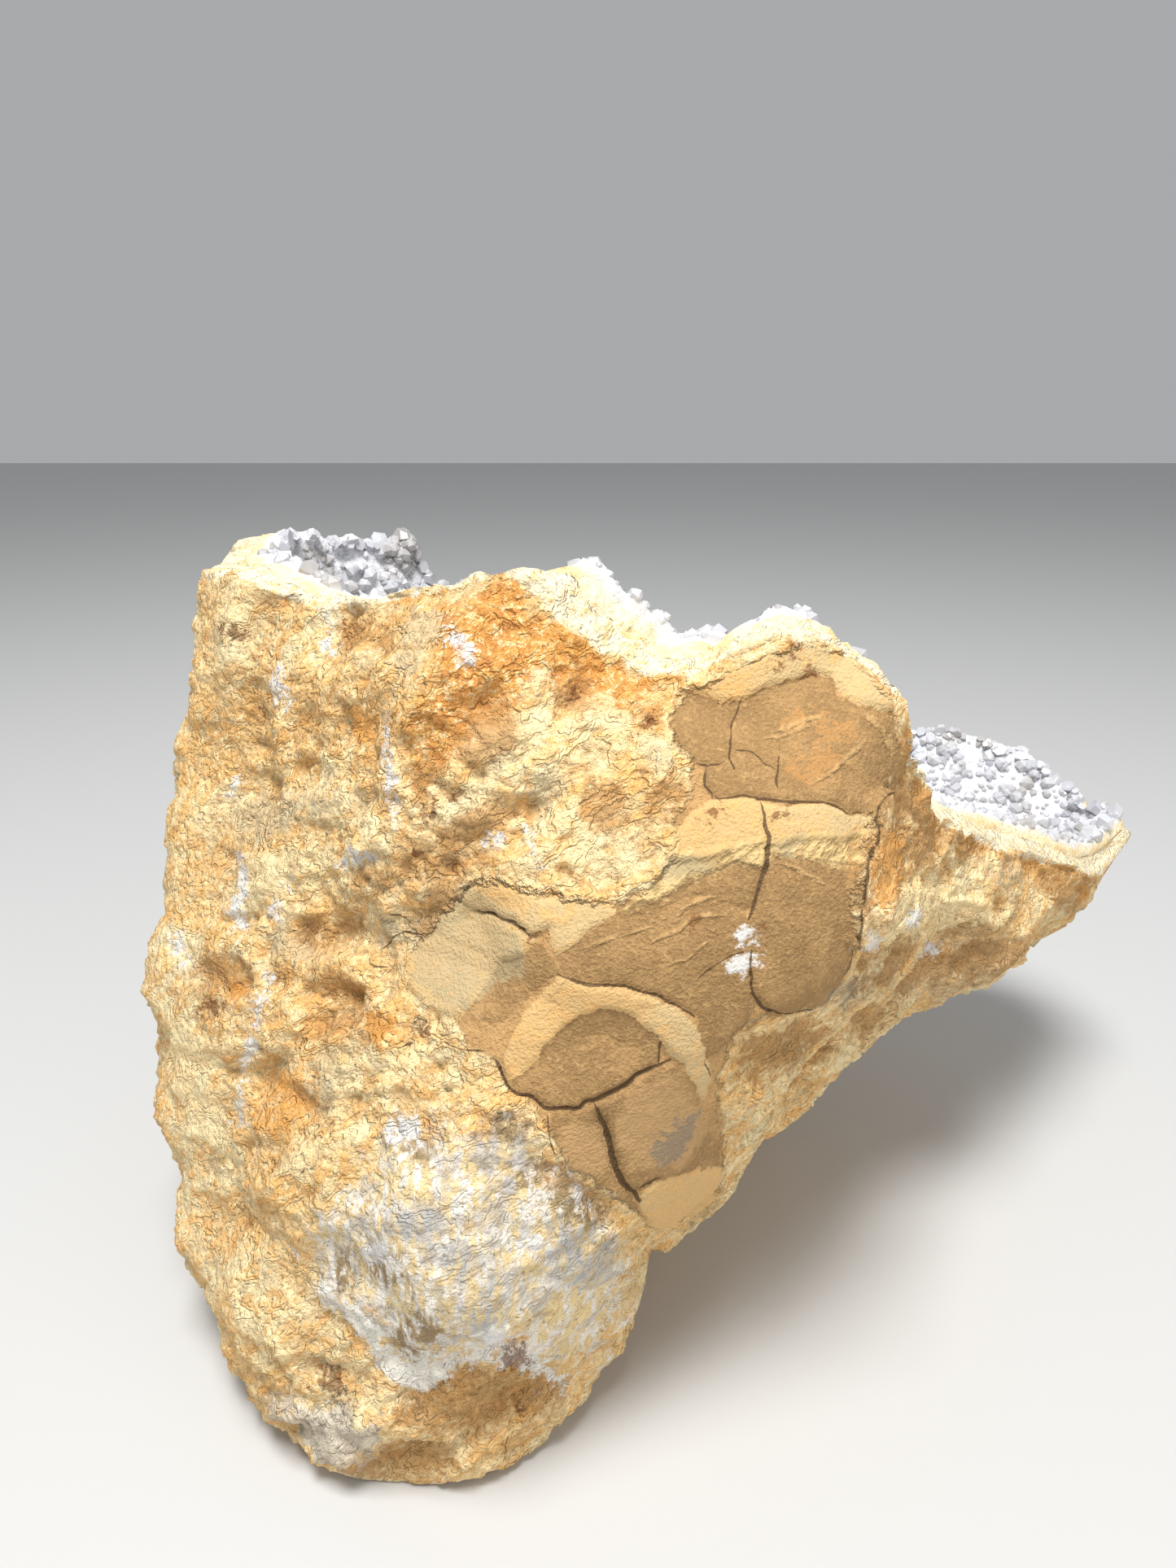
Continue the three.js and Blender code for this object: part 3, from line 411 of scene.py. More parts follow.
# %% Clay and its plates
PLATE_SHARE = 0.5
CLAY = [
    (836, 855), (870, 838), (940, 806), (1000, 790), (1060, 825), (1092, 880), (1100, 950),
    (1062, 992), (1058, 1049), (1040, 1119), (1045, 1160), (1030, 1212), (1014, 1236),
    (940, 1250), (905, 1268), (884, 1330), (886, 1400), (889, 1441), (882, 1475), (845, 1512),
    (803, 1508), (770, 1480), (700, 1434), (676, 1390), (655, 1356), (622, 1335), (606, 1300),
    (575, 1290), (560, 1250), (500, 1215), (495, 1180), (515, 1152), (548, 1120), (585, 1078),
    (640, 1088), (690, 1100), (755, 1112), (800, 1088), (832, 1050), (830, 1000), (850, 970),
    (848, 935), (826, 905), (820, 880)]
PLATES = {
    "ochre_cap": (1.5, "pale", [
        (836, 852), (850, 850), (868, 852), (877, 857), (884, 864), (893, 860), (910, 862),
        (925, 852), (947, 840), (973, 832), (999, 827), (1014, 829), (1027, 841), (1034, 853),
        (1052, 865), (1078, 874), (1090, 872), (1086, 850), (1068, 828), (1042, 806), (1008, 792),
        (975, 792), (940, 806), (905, 822), (870, 838), (845, 840)]),
    "upper_left": (0.6, "brown", [
        (836, 858), (850, 856), (868, 858), (877, 863), (884, 870), (893, 866), (909, 867),
        (906, 877), (899, 896), (895, 916), (895, 932), (879, 941), (868, 944), (854, 937),
        (838, 928), (826, 905), (823, 880)]),
    "upper_right": (0.9, "brown", [
        (914, 866), (927, 858), (948, 847), (973, 839), (999, 834), (1012, 837), (1022, 848),
        (1029, 861), (1050, 872), (1075, 882), (1090, 890), (1097, 915), (1100, 943), (1094, 958),
        (1075, 970), (1062, 985), (1057, 999), (1040, 997), (1024, 989), (1005, 983), (986, 985),
        (962, 988), (950, 982), (928, 985), (909, 981), (884, 980), (876, 976), (867, 964),
        (867, 950), (880, 944), (897, 937), (899, 917), (903, 897), (910, 877)]),
    "ledge_band": (1.1, "pale", [
        (876, 985), (909, 987), (933, 990), (960, 993), (986, 990), (1005, 989), (1024, 995),
        (1040, 1003), (1056, 1006), (1056, 1022), (998, 1029), (944, 1039), (884, 1048),
        (840, 1057), (826, 1050), (835, 1022), (852, 1000)]),
    "scarp_terrace": (0.5, "brown", [
        (760, 1118), (780, 1110), (808, 1091), (831, 1073), (858, 1060), (900, 1053), (937, 1045),
        (935, 1068), (928, 1092), (920, 1114), (900, 1110), (868, 1102), (841, 1100), (811, 1113),
        (792, 1118), (770, 1124)]),
    "right": (0.8, "brown", [
        (947, 1046), (985, 1056), (1020, 1060), (1048, 1072), (1043, 1093), (1040, 1119),
        (1036, 1140), (1033, 1154), (1040, 1168), (1036, 1190), (1028, 1208), (1015, 1228),
        (998, 1238), (976, 1242), (957, 1240), (942, 1236), (931, 1222), (928, 1198), (928, 1170),
        (922, 1136), (928, 1120), (936, 1094), (943, 1071)]),
    "left": (0.3, "brown", [
        (723, 1153), (741, 1140), (768, 1133), (792, 1127), (811, 1123), (841, 1110), (868, 1112),
        (900, 1120), (913, 1130), (916, 1142), (921, 1170), (921, 1198), (922, 1222), (928, 1238),
        (905, 1262), (884, 1290), (871, 1294), (858, 1250), (847, 1240), (832, 1228), (812, 1218),
        (792, 1212), (778, 1208), (752, 1202), (726, 1200), (710, 1195), (697, 1188),
        (697, 1174), (707, 1168)]),
    "crescent": (0.9, "pale", [
        (690, 1198), (709, 1204), (752, 1212), (792, 1222), (831, 1237), (854, 1260), (867, 1298),
        (873, 1325), (864, 1352), (854, 1330), (841, 1306), (813, 1276), (796, 1262), (779, 1246),
        (757, 1238), (735, 1236), (712, 1241), (692, 1256), (672, 1276), (658, 1298),
        (642, 1313), (629, 1324), (620, 1310), (628, 1280), (645, 1250), (665, 1225)]),
    "sunken_top": (0.3, "brown", [
        (634, 1326), (648, 1314), (662, 1300), (676, 1278), (696, 1259), (715, 1245), (735, 1240),
        (756, 1242), (775, 1250), (792, 1265), (809, 1279), (810, 1296), (804, 1305), (789, 1310),
        (776, 1318), (762, 1329), (744, 1339), (730, 1345), (714, 1347), (706, 1355),
        (692, 1354), (676, 1356), (666, 1353), (653, 1342), (638, 1338)]),
    "sunken_right": (0.6, "brown", [
        (735, 1355), (747, 1348), (767, 1338), (781, 1326), (794, 1318), (810, 1313), (829, 1307),
        (839, 1311), (850, 1332), (856, 1356), (862, 1380), (881, 1412), (880, 1428), (852, 1438),
        (828, 1442), (811, 1446), (791, 1450), (780, 1458), (769, 1450), (760, 1433), (754, 1411),
        (747, 1388), (741, 1369)]),
    "sunken_left": (0.3, "brown", [
        (680, 1369), (692, 1365), (708, 1365), (721, 1358), (727, 1361), (731, 1373), (738, 1392),
        (744, 1413), (750, 1437), (760, 1457), (773, 1470), (782, 1485), (766, 1480),
        (744, 1464), (720, 1446), (700, 1432), (688, 1425), (682, 1408), (679, 1388)]),
    "lip": (0.5, "pale", [
        (795, 1457), (812, 1453), (852, 1445), (882, 1435), (889, 1441), (886, 1468), (864, 1487),
        (856, 1501), (841, 1508), (821, 1511), (804, 1506), (793, 1485), (787, 1468)]),
    "pale_low": (1.1, "pale", [
        (497, 1187), (503, 1168), (518, 1155), (538, 1151), (562, 1161), (582, 1173), (610, 1186),
        (598, 1203), (588, 1219), (578, 1234), (560, 1243), (540, 1239), (521, 1228), (504, 1212),
        (498, 1199)]),
    "pale_middle": (1.2, "pale", [
        (541, 1146), (550, 1124), (572, 1108), (582, 1119), (602, 1123), (625, 1133), (644, 1145),
        (657, 1157), (645, 1169), (625, 1177), (610, 1181), (584, 1169), (563, 1157)]),
    "pale_upper": (1.4, "pale", [
        (571, 1101), (583, 1089), (603, 1082), (641, 1092), (664, 1101), (679, 1111), (676, 1134),
        (662, 1149), (647, 1139), (627, 1127), (603, 1117), (583, 1113)]),
    "bridge": (0.3, "brown", [
        (614, 1188), (648, 1175), (662, 1162), (676, 1170), (685, 1190), (663, 1203), (640, 1228),
        (618, 1250), (600, 1252), (586, 1247), (583, 1236), (593, 1220), (603, 1203)]),
    "block": (0.9, "pale", [
        (685, 1109), (700, 1099), (735, 1101), (756, 1120), (740, 1134), (718, 1147), (704, 1162),
        (690, 1168), (684, 1158), (684, 1135)]),
    "wing_terrace": (1.0, "pale", [
        (1076, 1098), (1110, 1092), (1146, 1098), (1190, 1104), (1216, 1112), (1228, 1136),
        (1190, 1132), (1146, 1136), (1115, 1150), (1072, 1155), (1062, 1130)]),
}
print("plates:", len(PLATES))

# %% [markdown]
# Clay shrinks as it dries, and cracks open along the plates and across them. Each crack has half its
# width in millimetres and its course. A point remembers only its nearest crack in each group, so the
# cracks of one group never come near each other. One course of the third group is not a crack: it runs
# along the step's edge as a painted shadow line.

# %% Cracks
CRACKS_AND_STEP_SHADOW = [
    [(0.11, [(912, 859), (906, 875), (898, 896), (895, 918), (896, 937), (903, 951)]),
     (0.12, [(875, 979), (884, 982), (909, 983), (928, 986), (947, 984), (960, 985), (986, 986),
             (1005, 985), (1024, 991), (1040, 999), (1056, 1001)]),
     (0.11, [(1045, 1160), (1040, 1183), (1030, 1205), (1018, 1227)]),
     (0.15, [(685, 1192), (709, 1201), (725, 1206), (752, 1207), (778, 1212), (792, 1217),
             (811, 1222), (831, 1232), (848, 1244), (855, 1252)]),
     (0.23, [(611, 1302), (616, 1318), (622, 1332), (636, 1342), (652, 1347), (666, 1360),
             (675, 1363), (692, 1360), (709, 1360), (715, 1352), (730, 1350), (745, 1343),
             (765, 1333), (778, 1322), (792, 1313), (808, 1309), (828, 1302)]),
     (0.09, [(583, 1086), (569, 1096)]),
     (0.07, [(460, 1168), (480, 1153), (500, 1145), (520, 1147)])],
    [(0.07, [(854, 938), (868, 945), (879, 942), (893, 934)]),
     (0.24, [(933, 988), (937, 1004), (940, 1020), (944, 1030), (944, 1039), (939, 1071),
             (932, 1093), (924, 1119), (917, 1132)]),
     (0.15, [(924, 1167), (925, 1199), (927, 1224), (938, 1240), (957, 1243), (976, 1245),
             (999, 1242), (1014, 1234)]),
     (0.37, [(730, 1353), (735, 1368), (742, 1388), (748, 1411), (755, 1435), (765, 1454),
             (778, 1464), (787, 1478)]),
     (0.14, [(583, 1116), (603, 1120), (626, 1130), (646, 1143), (659, 1156)]),
     (0.07, [(473, 1123), (493, 1133), (499, 1141)])],
    [(0.07, [(901, 926), (919, 927), (930, 934), (940, 942), (955, 946)]),
     (0.07, [(868, 945), (865, 956), (866, 966), (875, 975), (874, 985)]),
     (0.07, [(916, 1170), (896, 1179), (877, 1189), (855, 1207)]),
     # Painted shadow: a thin dark line along the step's edge.
     (0.08, [(1098, 959), (1086, 967), (1072, 978), (1064, 990), (1061, 1006), (1061, 1024),
             (1057, 1049), (1051, 1070), (1046, 1093), (1043, 1119), (1040, 1138), (1036, 1154)]),
     (0.10, [(808, 1309), (811, 1295), (813, 1279)]),
     (0.07, [(672, 1368), (674, 1388), (679, 1408), (684, 1425)]),
     (0.07, [(540, 1277), (566, 1289), (573, 1290), (596, 1294)])],
    [(0.07, [(960, 926), (956, 943), (955, 963), (957, 972)]),
     (0.08, [(448, 1180), (456, 1186), (472, 1187)]),
     (0.08, [(362, 1448), (368, 1441), (373, 1437)]),
     (0.07, [(488, 1290), (494, 1286), (504, 1285)]),
     (0.19, [(778, 1461), (792, 1453), (811, 1448)]),
     (0.07, [(868, 1299), (874, 1325)])],
]
print("cracks:", sum(len(group) for group in CRACKS_AND_STEP_SHADOW))

# %% [markdown]
# The rest of the front has larger features of its own: round pits (place, radius and depth), the step
# from the clay down to the wing, a spar patch with a white seam on the foot, white veins, an orange
# granular slope, the scraped scarp below the ledge, and a few single patches.

# %% Pits, step, spar and veins
PITS = [
    (275, 1203, 4.2, 1.8), (402, 1235, 5.0, 2.2), (380, 1158, 3.4, 1.0), (510, 925, 3.0, 0.8),
    (552, 1073, 3.2, 0.9), (430, 1715, 4.0, 1.0), (320, 1420, 4.5, 0.9), (460, 990, 3.2, 0.8),
    (600, 860, 3.0, 0.7), (700, 900, 2.6, 0.6), (640, 990, 3.2, 0.8), (1190, 1152, 3.4, 1.0)]
STEP_EDGE = [
    (1096, 880), (1099, 956), (1085, 964), (1069, 975), (1061, 988), (1058, 1001), (1058, 1023),
    (1054, 1049), (1048, 1068), (1043, 1093), (1040, 1119), (1037, 1138), (1033, 1154)]
STEP_HEIGHT, STEP_FADE = 1.8, 13.0  # it fades out this far from its edge
STEP_REACH, STEP_ENDS_AT = 30, 36  # how far its edge is felt, and where across the sheet it ends
SPAR_PATCH = [
    (455, 1412), (493, 1387), (542, 1389), (584, 1375), (625, 1379), (650, 1395), (671, 1437),
    (708, 1462), (737, 1507), (758, 1557), (766, 1590), (758, 1627), (741, 1665), (708, 1686),
    (658, 1686), (630, 1661), (605, 1665), (563, 1679), (522, 1690), (480, 1681), (455, 1644),
    (422, 1619), (389, 1598), (389, 1570), (385, 1532), (389, 1487)]
SPAR_SEAM = [
    (386, 1590), (422, 1619), (455, 1644), (480, 1681), (522, 1690), (563, 1679), (605, 1665),
    (630, 1661), (658, 1686), (700, 1700)]
SEAM_HALF_WIDTH = 1.3
# White mineral veins: half width, then course.
VEINS = [
    (0.55, [(468, 870), (472, 905), (479, 950), (476, 990), (484, 1030)]),
    (0.5, [(289, 1045), (292, 1085), (290, 1125), (296, 1160)]),
    (0.5, [(330, 1195), (320, 1240), (308, 1290), (296, 1340), (290, 1385)]),
    (0.45, [(345, 815), (342, 845), (346, 875)]), (0.45, [(398, 745), (406, 775), (404, 805)]),
    (0.5, [(553, 765), (566, 790), (574, 812), (566, 830)]),
    (0.5, [(410, 1065), (438, 1052), (462, 1058)]),
    (0.4, [(640, 1010), (655, 1040), (668, 1075)])]
GRANULAR = [
    (545, 735), (600, 690), (640, 702), (660, 738), (700, 776), (760, 802), (800, 824), (835, 832),
    (868, 822), (850, 850), (815, 868), (760, 872), (705, 858), (665, 838), (640, 860), (600, 900),
    (540, 960), (500, 970), (478, 930), (500, 860), (530, 800)]
SCARP = [
    (826, 1052), (884, 1042), (944, 1036), (998, 1028), (1056, 1022), (1056, 1064), (1020, 1060),
    (985, 1054), (950, 1050), (938, 1072), (900, 1062), (862, 1074), (832, 1092), (800, 1108),
    (772, 1116), (800, 1078)]
WHITE_FOOT = [
    (320, 1722), (360, 1716), (420, 1730), (470, 1745), (466, 1800), (400, 1815), (345, 1780)]
GREY_STAIN = [
    (790, 1417), (800, 1398), (822, 1392), (835, 1370), (857, 1366), (850, 1395), (836, 1418),
    (806, 1430)]
BLUE_STAIN = [
    (1008, 1232), (1020, 1212), (1045, 1200), (1066, 1205), (1056, 1228), (1030, 1240)]
print("pits:", len(PITS), "veins:", len(VEINS))

# %% [markdown]
# Water and rust have stained the stone. A noise alone gives an even scatter, so the stains that catch
# the eye are placed one by one: round spots have a place and a radius, long ones half a width and a
# course. Brown ones lie in shallow hollows, and pale ones on raised flakes. A few brown and grey
# strips along the wing's lower edge are not stains: they are painted shade on the wing's underside.

# %% Spots and stains
WHITE_SPOTS = [
    (343, 843, 0.9), (295, 960, 1.1), (288, 975, 0.8), (439, 1054, 1.0), (219, 1163, 1.1),
    (225, 1185, 0.7), (358, 1075, 0.6), (352, 1090, 0.5), (565, 788, 0.9), (575, 803, 0.8),
    (912, 1147, 1.0), (905, 1190, 1.2), (918, 1178, 1.1), (924, 1154, 0.7), (908, 1162, 0.6),
    (496, 1390, 1.6), (460, 1539, 1.2), (652, 1526, 1.4), (615, 1648, 1.8), (325, 1226, 0.7),
    (338, 1121, 0.9), (292, 1124, 0.8), (610, 1030, 0.7), (600, 1035, 0.5), (1052, 1152, 0.9),
    (1123, 1127, 1.0), (1147, 1168, 0.8)]
RUST_SPOTS = [
    (663, 1154, 0.6), (874, 997, 0.9), (963, 1003, 0.8), (937, 1140, 0.5), (856, 1136, 0.7),
    (558, 975, 0.9), (528, 998, 1.1), (505, 1051, 0.7), (969, 797, 0.8), (952, 814, 0.7),
    (991, 827, 0.7), (705, 855, 0.9), (797, 886, 0.6), (403, 1701, 1.6), (632, 1672, 1.7),
    (642, 1740, 0.8), (316, 875, 0.7), (289, 779, 1.0), (512, 1262, 1.2), (255, 1240, 1.2)]
BROWN_STAINS_AND_UNDERSIDE_SHADE = [
    (2.2, [(415, 795), (445, 775), (480, 770)]), (2.0, [(570, 890), (595, 872), (622, 862)]),
    (1.8, [(492, 965), (520, 955), (551, 950)]), (2.4, [(531, 1045), (570, 1022), (628, 992)]),
    (1.7, [(420, 1078), (500, 1068), (600, 1058)]),
    (3.0, [(515, 1150), (545, 1125), (570, 1102)]),
    (1.8, [(366, 1150), (400, 1142), (432, 1140)]), (1.6, [(684, 880), (705, 862), (712, 840)]),
    (1.6, [(785, 892), (812, 868)]), (2.2, [(792, 1000), (815, 980), (841, 962)]),
    (2.4, [(562, 940), (595, 915), (627, 888)]), (2.2, [(715, 1005), (742, 988), (767, 975)]),
    (3.2, [(1066, 1010), (1085, 985), (1120, 985), (1158, 1000)]),
    (2.2, [(1090, 1060), (1130, 1030), (1180, 1030), (1225, 1040)]),
    (2.6, [(1292, 1110), (1318, 1092), (1345, 1078)]),
    (1.3, [(1150, 1150), (1190, 1147), (1228, 1152)]),
    # Painted shade: this strip darkens the wing's underside.
    (2.2, [(1050, 1192), (1120, 1182), (1200, 1178), (1285, 1178)]),
    (3.0, [(240, 1180), (268, 1196), (290, 1212)]), (1.4, [(250, 1245), (262, 1222)]),
    (1.0, [(1100, 962), (1076, 978), (1068, 1010), (1066, 1045), (1055, 1090), (1049, 1135)]),
    (2.2, [(372, 1222), (400, 1212), (430, 1220)]),
    (1.8, [(368, 1262), (398, 1258), (430, 1250)]),
    (1.8, [(440, 1282), (455, 1268), (472, 1255)]),
    (1.2, [(328, 1206), (345, 1202), (360, 1196)]),
    (2.0, [(483, 1412), (500, 1400), (545, 1398)]),
    (1.6, [(575, 1392), (612, 1384), (655, 1386)]),
    (2.4, [(632, 1446), (672, 1446), (705, 1466), (742, 1505)]),
    (1.8, [(446, 1560), (475, 1556), (506, 1552)]),
    (3.0, [(478, 1655), (505, 1640), (540, 1615)]),
    (1.5, [(412, 1585), (425, 1560), (432, 1540)]),
    (4.0, [(490, 1745), (560, 1725), (640, 1712), (690, 1705)]),
    (2.6, [(400, 1800), (470, 1800), (560, 1795)]), (1.0, [(288, 1506), (300, 1488)]),
    (2.8, [(1070, 1050), (1110, 1040), (1160, 1036)]),
    # Painted shade: this line's strip and the first strip of the next line darken the wing's
    # underside.
    (2.4, [(1050, 1212), (1120, 1196), (1200, 1184), (1285, 1166)]),
    (1.8, [(1040, 1262), (1100, 1238)]), (2.4, [(900, 1310), (960, 1296), (1015, 1268)]),
    (2.2, [(1098, 890), (1106, 950), (1100, 1000)]), (2.0, [(1066, 990), (1064, 1050)])]
# Thin pale edges of broken layers on the clay.
CLAY_RIDGES = [
    (0.3, [(797, 1158), (830, 1143), (850, 1130), (893, 1126)]),
    (0.25, [(720, 1166), (760, 1150), (800, 1136)]),
    (0.35, [(952, 897), (985, 889), (1012, 881)]),
    (0.35, [(1055, 880), (1078, 898), (1092, 928)]),
    (0.22, [(938, 908), (970, 900), (1000, 893)]),
    (0.25, [(1000, 962), (1030, 940), (1062, 908)]),
    (0.22, [(820, 1190), (850, 1178), (872, 1160)]),
    (0.25, [(960, 1062), (990, 1076), (1015, 1096)]),
    (0.3, [(826, 1128), (850, 1112), (880, 1106)])]
GREY_STAINS_AND_UNDERSIDE_SHADE = [
    (7.0, [(515, 1200), (560, 1170), (630, 1125)]), (2.0, [(505, 790), (520, 768), (532, 752)]),
    (1.8, [(495, 828), (510, 808), (530, 806)]), (2.6, [(292, 1012), (330, 1000), (392, 985)]),
    (1.2, [(582, 940), (606, 934), (634, 930)]), (1.8, [(640, 978), (670, 970), (705, 964)]),
    (1.4, [(790, 935), (808, 926), (824, 920)]), (1.2, [(815, 1072), (845, 1064), (874, 1058)]),
    (1.0, [(952, 1052), (975, 1040), (997, 1034)]),
    (1.2, [(1210, 1078), (1232, 1072), (1253, 1070)]),
    (2.2, [(335, 1138), (360, 1155), (384, 1172)]),
    (2.4, [(370, 1350), (390, 1342), (412, 1338)]),
    (2.0, [(478, 1510), (510, 1505), (545, 1500)]),
    (1.8, [(594, 1468), (615, 1464), (638, 1470)]),
    (2.2, [(540, 1575), (565, 1562), (589, 1550)]),
    (3.0, [(690, 1515), (706, 1545), (708, 1585)]),
    (2.4, [(560, 1622), (600, 1612), (640, 1600)]),
    # Painted shade: the second strip of this line and the second strip of the next line darken the
    # wing's underside.
    (3.4, [(350, 1770), (400, 1760), (440, 1745)]), (1.4, [(1075, 1206), (1115, 1200)]),
    (1.6, [(455, 1160), (468, 1140)]), (2.2, [(1120, 1215), (1190, 1200), (1270, 1172)])]
PALE_STAINS = [
    (2.0, [(570, 922), (620, 910), (676, 890)]), (2.4, [(520, 1015), (570, 1000), (630, 972)]),
    (3.0, [(290, 1090), (350, 1072), (410, 1060)]), (2.2, [(690, 905), (730, 890), (775, 880)]),
    (2.0, [(640, 1030), (690, 1020), (740, 1030)]),
    (2.6, [(1078, 1112), (1150, 1112), (1225, 1135)]),
    (2.4, [(1066, 1146), (1085, 1128), (1100, 1122)]),
    (2.0, [(1000, 1330), (1060, 1275), (1110, 1225)]),
    (1.0, [(462, 1343), (490, 1318), (516, 1290)]),
    (1.0, [(527, 1365), (543, 1338), (553, 1310)]),
    (1.8, [(402, 1344), (420, 1330), (430, 1322)]),
    (3.0, [(225, 1260), (240, 1330), (262, 1395)]),
    (2.6, [(340, 1440), (360, 1425), (385, 1410)]), (2.4, [(560, 1265), (590, 1270)]),
    (2.2, [(800, 900), (790, 930)]), (1.6, [(1105, 1222), (1122, 1218)]),
    (5.0, [(775, 1345), (815, 1385), (835, 1425)]), (2.4, [(700, 1385), (735, 1440)]),
    (4.0, [(1080, 1128), (1140, 1118), (1210, 1140)]),
    (2.2, [(275, 690), (288, 760), (290, 820)]), (2.0, [(700, 1050), (740, 1062), (790, 1060)])]
# The clay's rusty scuffs, and orange grains along the step and at the wing's end.
WARM_STAINS = [
    (0.7, [(958, 893), (985, 888), (1012, 880)]), (1.2, [(965, 950), (1000, 940), (1028, 925)]),
    (1.0, [(1000, 905), (1030, 895), (1050, 900)]),
    (2.2, [(1085, 1020), (1078, 1060), (1064, 1110)]), (1.8, [(1334, 1118), (1352, 1100)]),
    (1.4, [(1338, 1050), (1372, 1030)]), (2.2, [(760, 800), (800, 825), (840, 832)]),
    (1.2, [(995, 778), (1020, 786)]), (1.6, [(285, 1215), (262, 1232)]),
    (2.0, [(455, 1275), (480, 1255)]), (2.6, [(330, 1400), (350, 1360), (372, 1310)]),
    (2.4, [(420, 900), (445, 880)])]


def strip(x, y, lines, reach_out):
    """The most inside that a place is of any of the lines' strips, in millimetres."""
    deepest = np.full(x.shape, -9.0)
    for half_width, course in lines:
        side, width = beside_line(x, y, place(course), half_width, reach_out)
        deepest = np.maximum(deepest, width - np.abs(side))
    return deepest


def spots(x, y, table):
    """How deep inside the nearest round spot a place lies, in millimetres, negative outside."""
    deepest = np.full(x.shape, -9.0)
    for px, py, radius in table:
        sx, sy = place([(px, py)])[0]
        deepest = np.maximum(deepest, radius - np.hypot(x - sx, y - sy))
    return deepest


print("stains:", sum(map(len, (BROWN_STAINS_AND_UNDERSIDE_SHADE, GREY_STAINS_AND_UNDERSIDE_SHADE, PALE_STAINS, WARM_STAINS))))

# %% [markdown]
# ## The rock's own surface
#
# A grid of directions, crowded towards the front where the clay is, gives the rock's skin. Its last
# row is the rim. Beyond it the broken edge runs inward, and a wall behind the crust closes the piece.

# %% Grid of the rock
COLUMNS, SKIN_ROWS, EDGE_ROWS, WALL_ROWS = 352, 256, 8, 4
FRONT_AZIMUTH, FRONT_CROWDING = np.radians(-112), 0.58
CAD_COLUMNS, CALM_ROUNDS = 48, 6
RIND_SHARE, HOLLOW_FLOOR, CRUST_THICKNESS, FULLNESS = 0.5, 8, 5, 0.9
RIM_RAGGED = 1.3

even = np.linspace(0, 2 * np.pi, COLUMNS, endpoint=False)
azimuth = even - FRONT_CROWDING * np.sin(even - FRONT_AZIMUTH)


def round_the_rim(values):
    """Straight interpolation of a rim column over the azimuths."""
    d = unit(RIM[:, :3] - CENTRE)
    at = np.arctan2(d @ BACK, d @ RIGHT)
    order = np.argsort(at)
    return np.interp(azimuth, at[order], values(d)[order], period=2 * np.pi)


rim_polar = round_the_rim(lambda d: np.arccos(-d @ AXIS))
rim_inward = round_the_rim(lambda d: RIM[:, 3])
rim_climb = round_the_rim(lambda d: RIM[:, 4])
circle = outward(azimuth)
ragged = (rough(circle * 60, 9, 3, 3) * RIM_RAGGED + noise(circle * 60, 2.2, 4) * 0.5) / 60


def skin_points(polar):
    """Points of the skin, with no grain yet, at each column's polar angle."""
    d = direction(azimuth, polar)
    return CENTRE + d * skin_radius(d)[..., None]


def in_blocks(polar):
    """The same for many rows at once, in blocks, so that the arrays stay small."""
    return np.concatenate([skin_points(block) for block in np.array_split(polar, 16)])


share_up = (np.arange(1, SKIN_ROWS + 1) / SKIN_ROWS) ** 0.86
polar = share_up[:, None] * rim_polar + share_up[:, None] ** 14 * ragged
skin = in_blocks(polar)
print("skin grid:", skin.shape, "from", skin.min((0, 1)).round(1), "to", skin.max((0, 1)).round(1))

# %% [markdown]
# Every point of the skin needs to know where it lies on the layout sheet, and whether it faces the eye
# point at all, because a straight line from the eye would mark the far side as well. Noise pushes the
# places about a little, so that no outline is ruler-sharp.

# %% Normals, sheet places and masks
def normals(grid):
    """Cross product of the steps along the columns and the rows, turned outward."""
    along = np.roll(grid, -1, axis=1) - np.roll(grid, 1, axis=1)
    up = np.gradient(grid, axis=0)
    n = unit(np.cross(along, up) + 1e-12)
    return n * np.sign(np.sum(n * (grid - CENTRE), axis=-1, keepdims=True) + 1e-9)


out = normals(skin)
facing = smoothstep(0.02, 0.25, np.sum(out * unit(EYE - skin), axis=-1))
warp = np.stack([0.35 * noise(skin, 4, seed) + 0.22 * noise(skin, 1.3, seed + 5)
                 for seed in (71, 72, 73)], axis=-1)
sheet_x, sheet_y = to_sheet(skin + warp)
in_front = facing > 0.1


def within(outline):
    """Signed distance to an outline on the sheet, positive inside, and far outside at the back."""
    return np.where(in_front, in_outline(sheet_x, sheet_y, place(outline)), -9.0)


clay = np.where(facing > 0, in_outline(sheet_x, sheet_y, place(CLAY)), -20.0)
smooth = smoothstep(-2.8, 0.6, clay + 0.8 * rough(skin, 4, 81, 2)) * facing
print("share of the skin that is clay:", float(smooth.mean()))

# %% [markdown]
# The rock is lumpy and breaks into slanting flakes, and the clay on it is almost smooth. One noise
# would look like dough, so several kinds are summed, from broad swells to crumbs, in millimetres out
# of the form. The sum is calmer on the spar and on the worn left flank, and fades out on the clay.

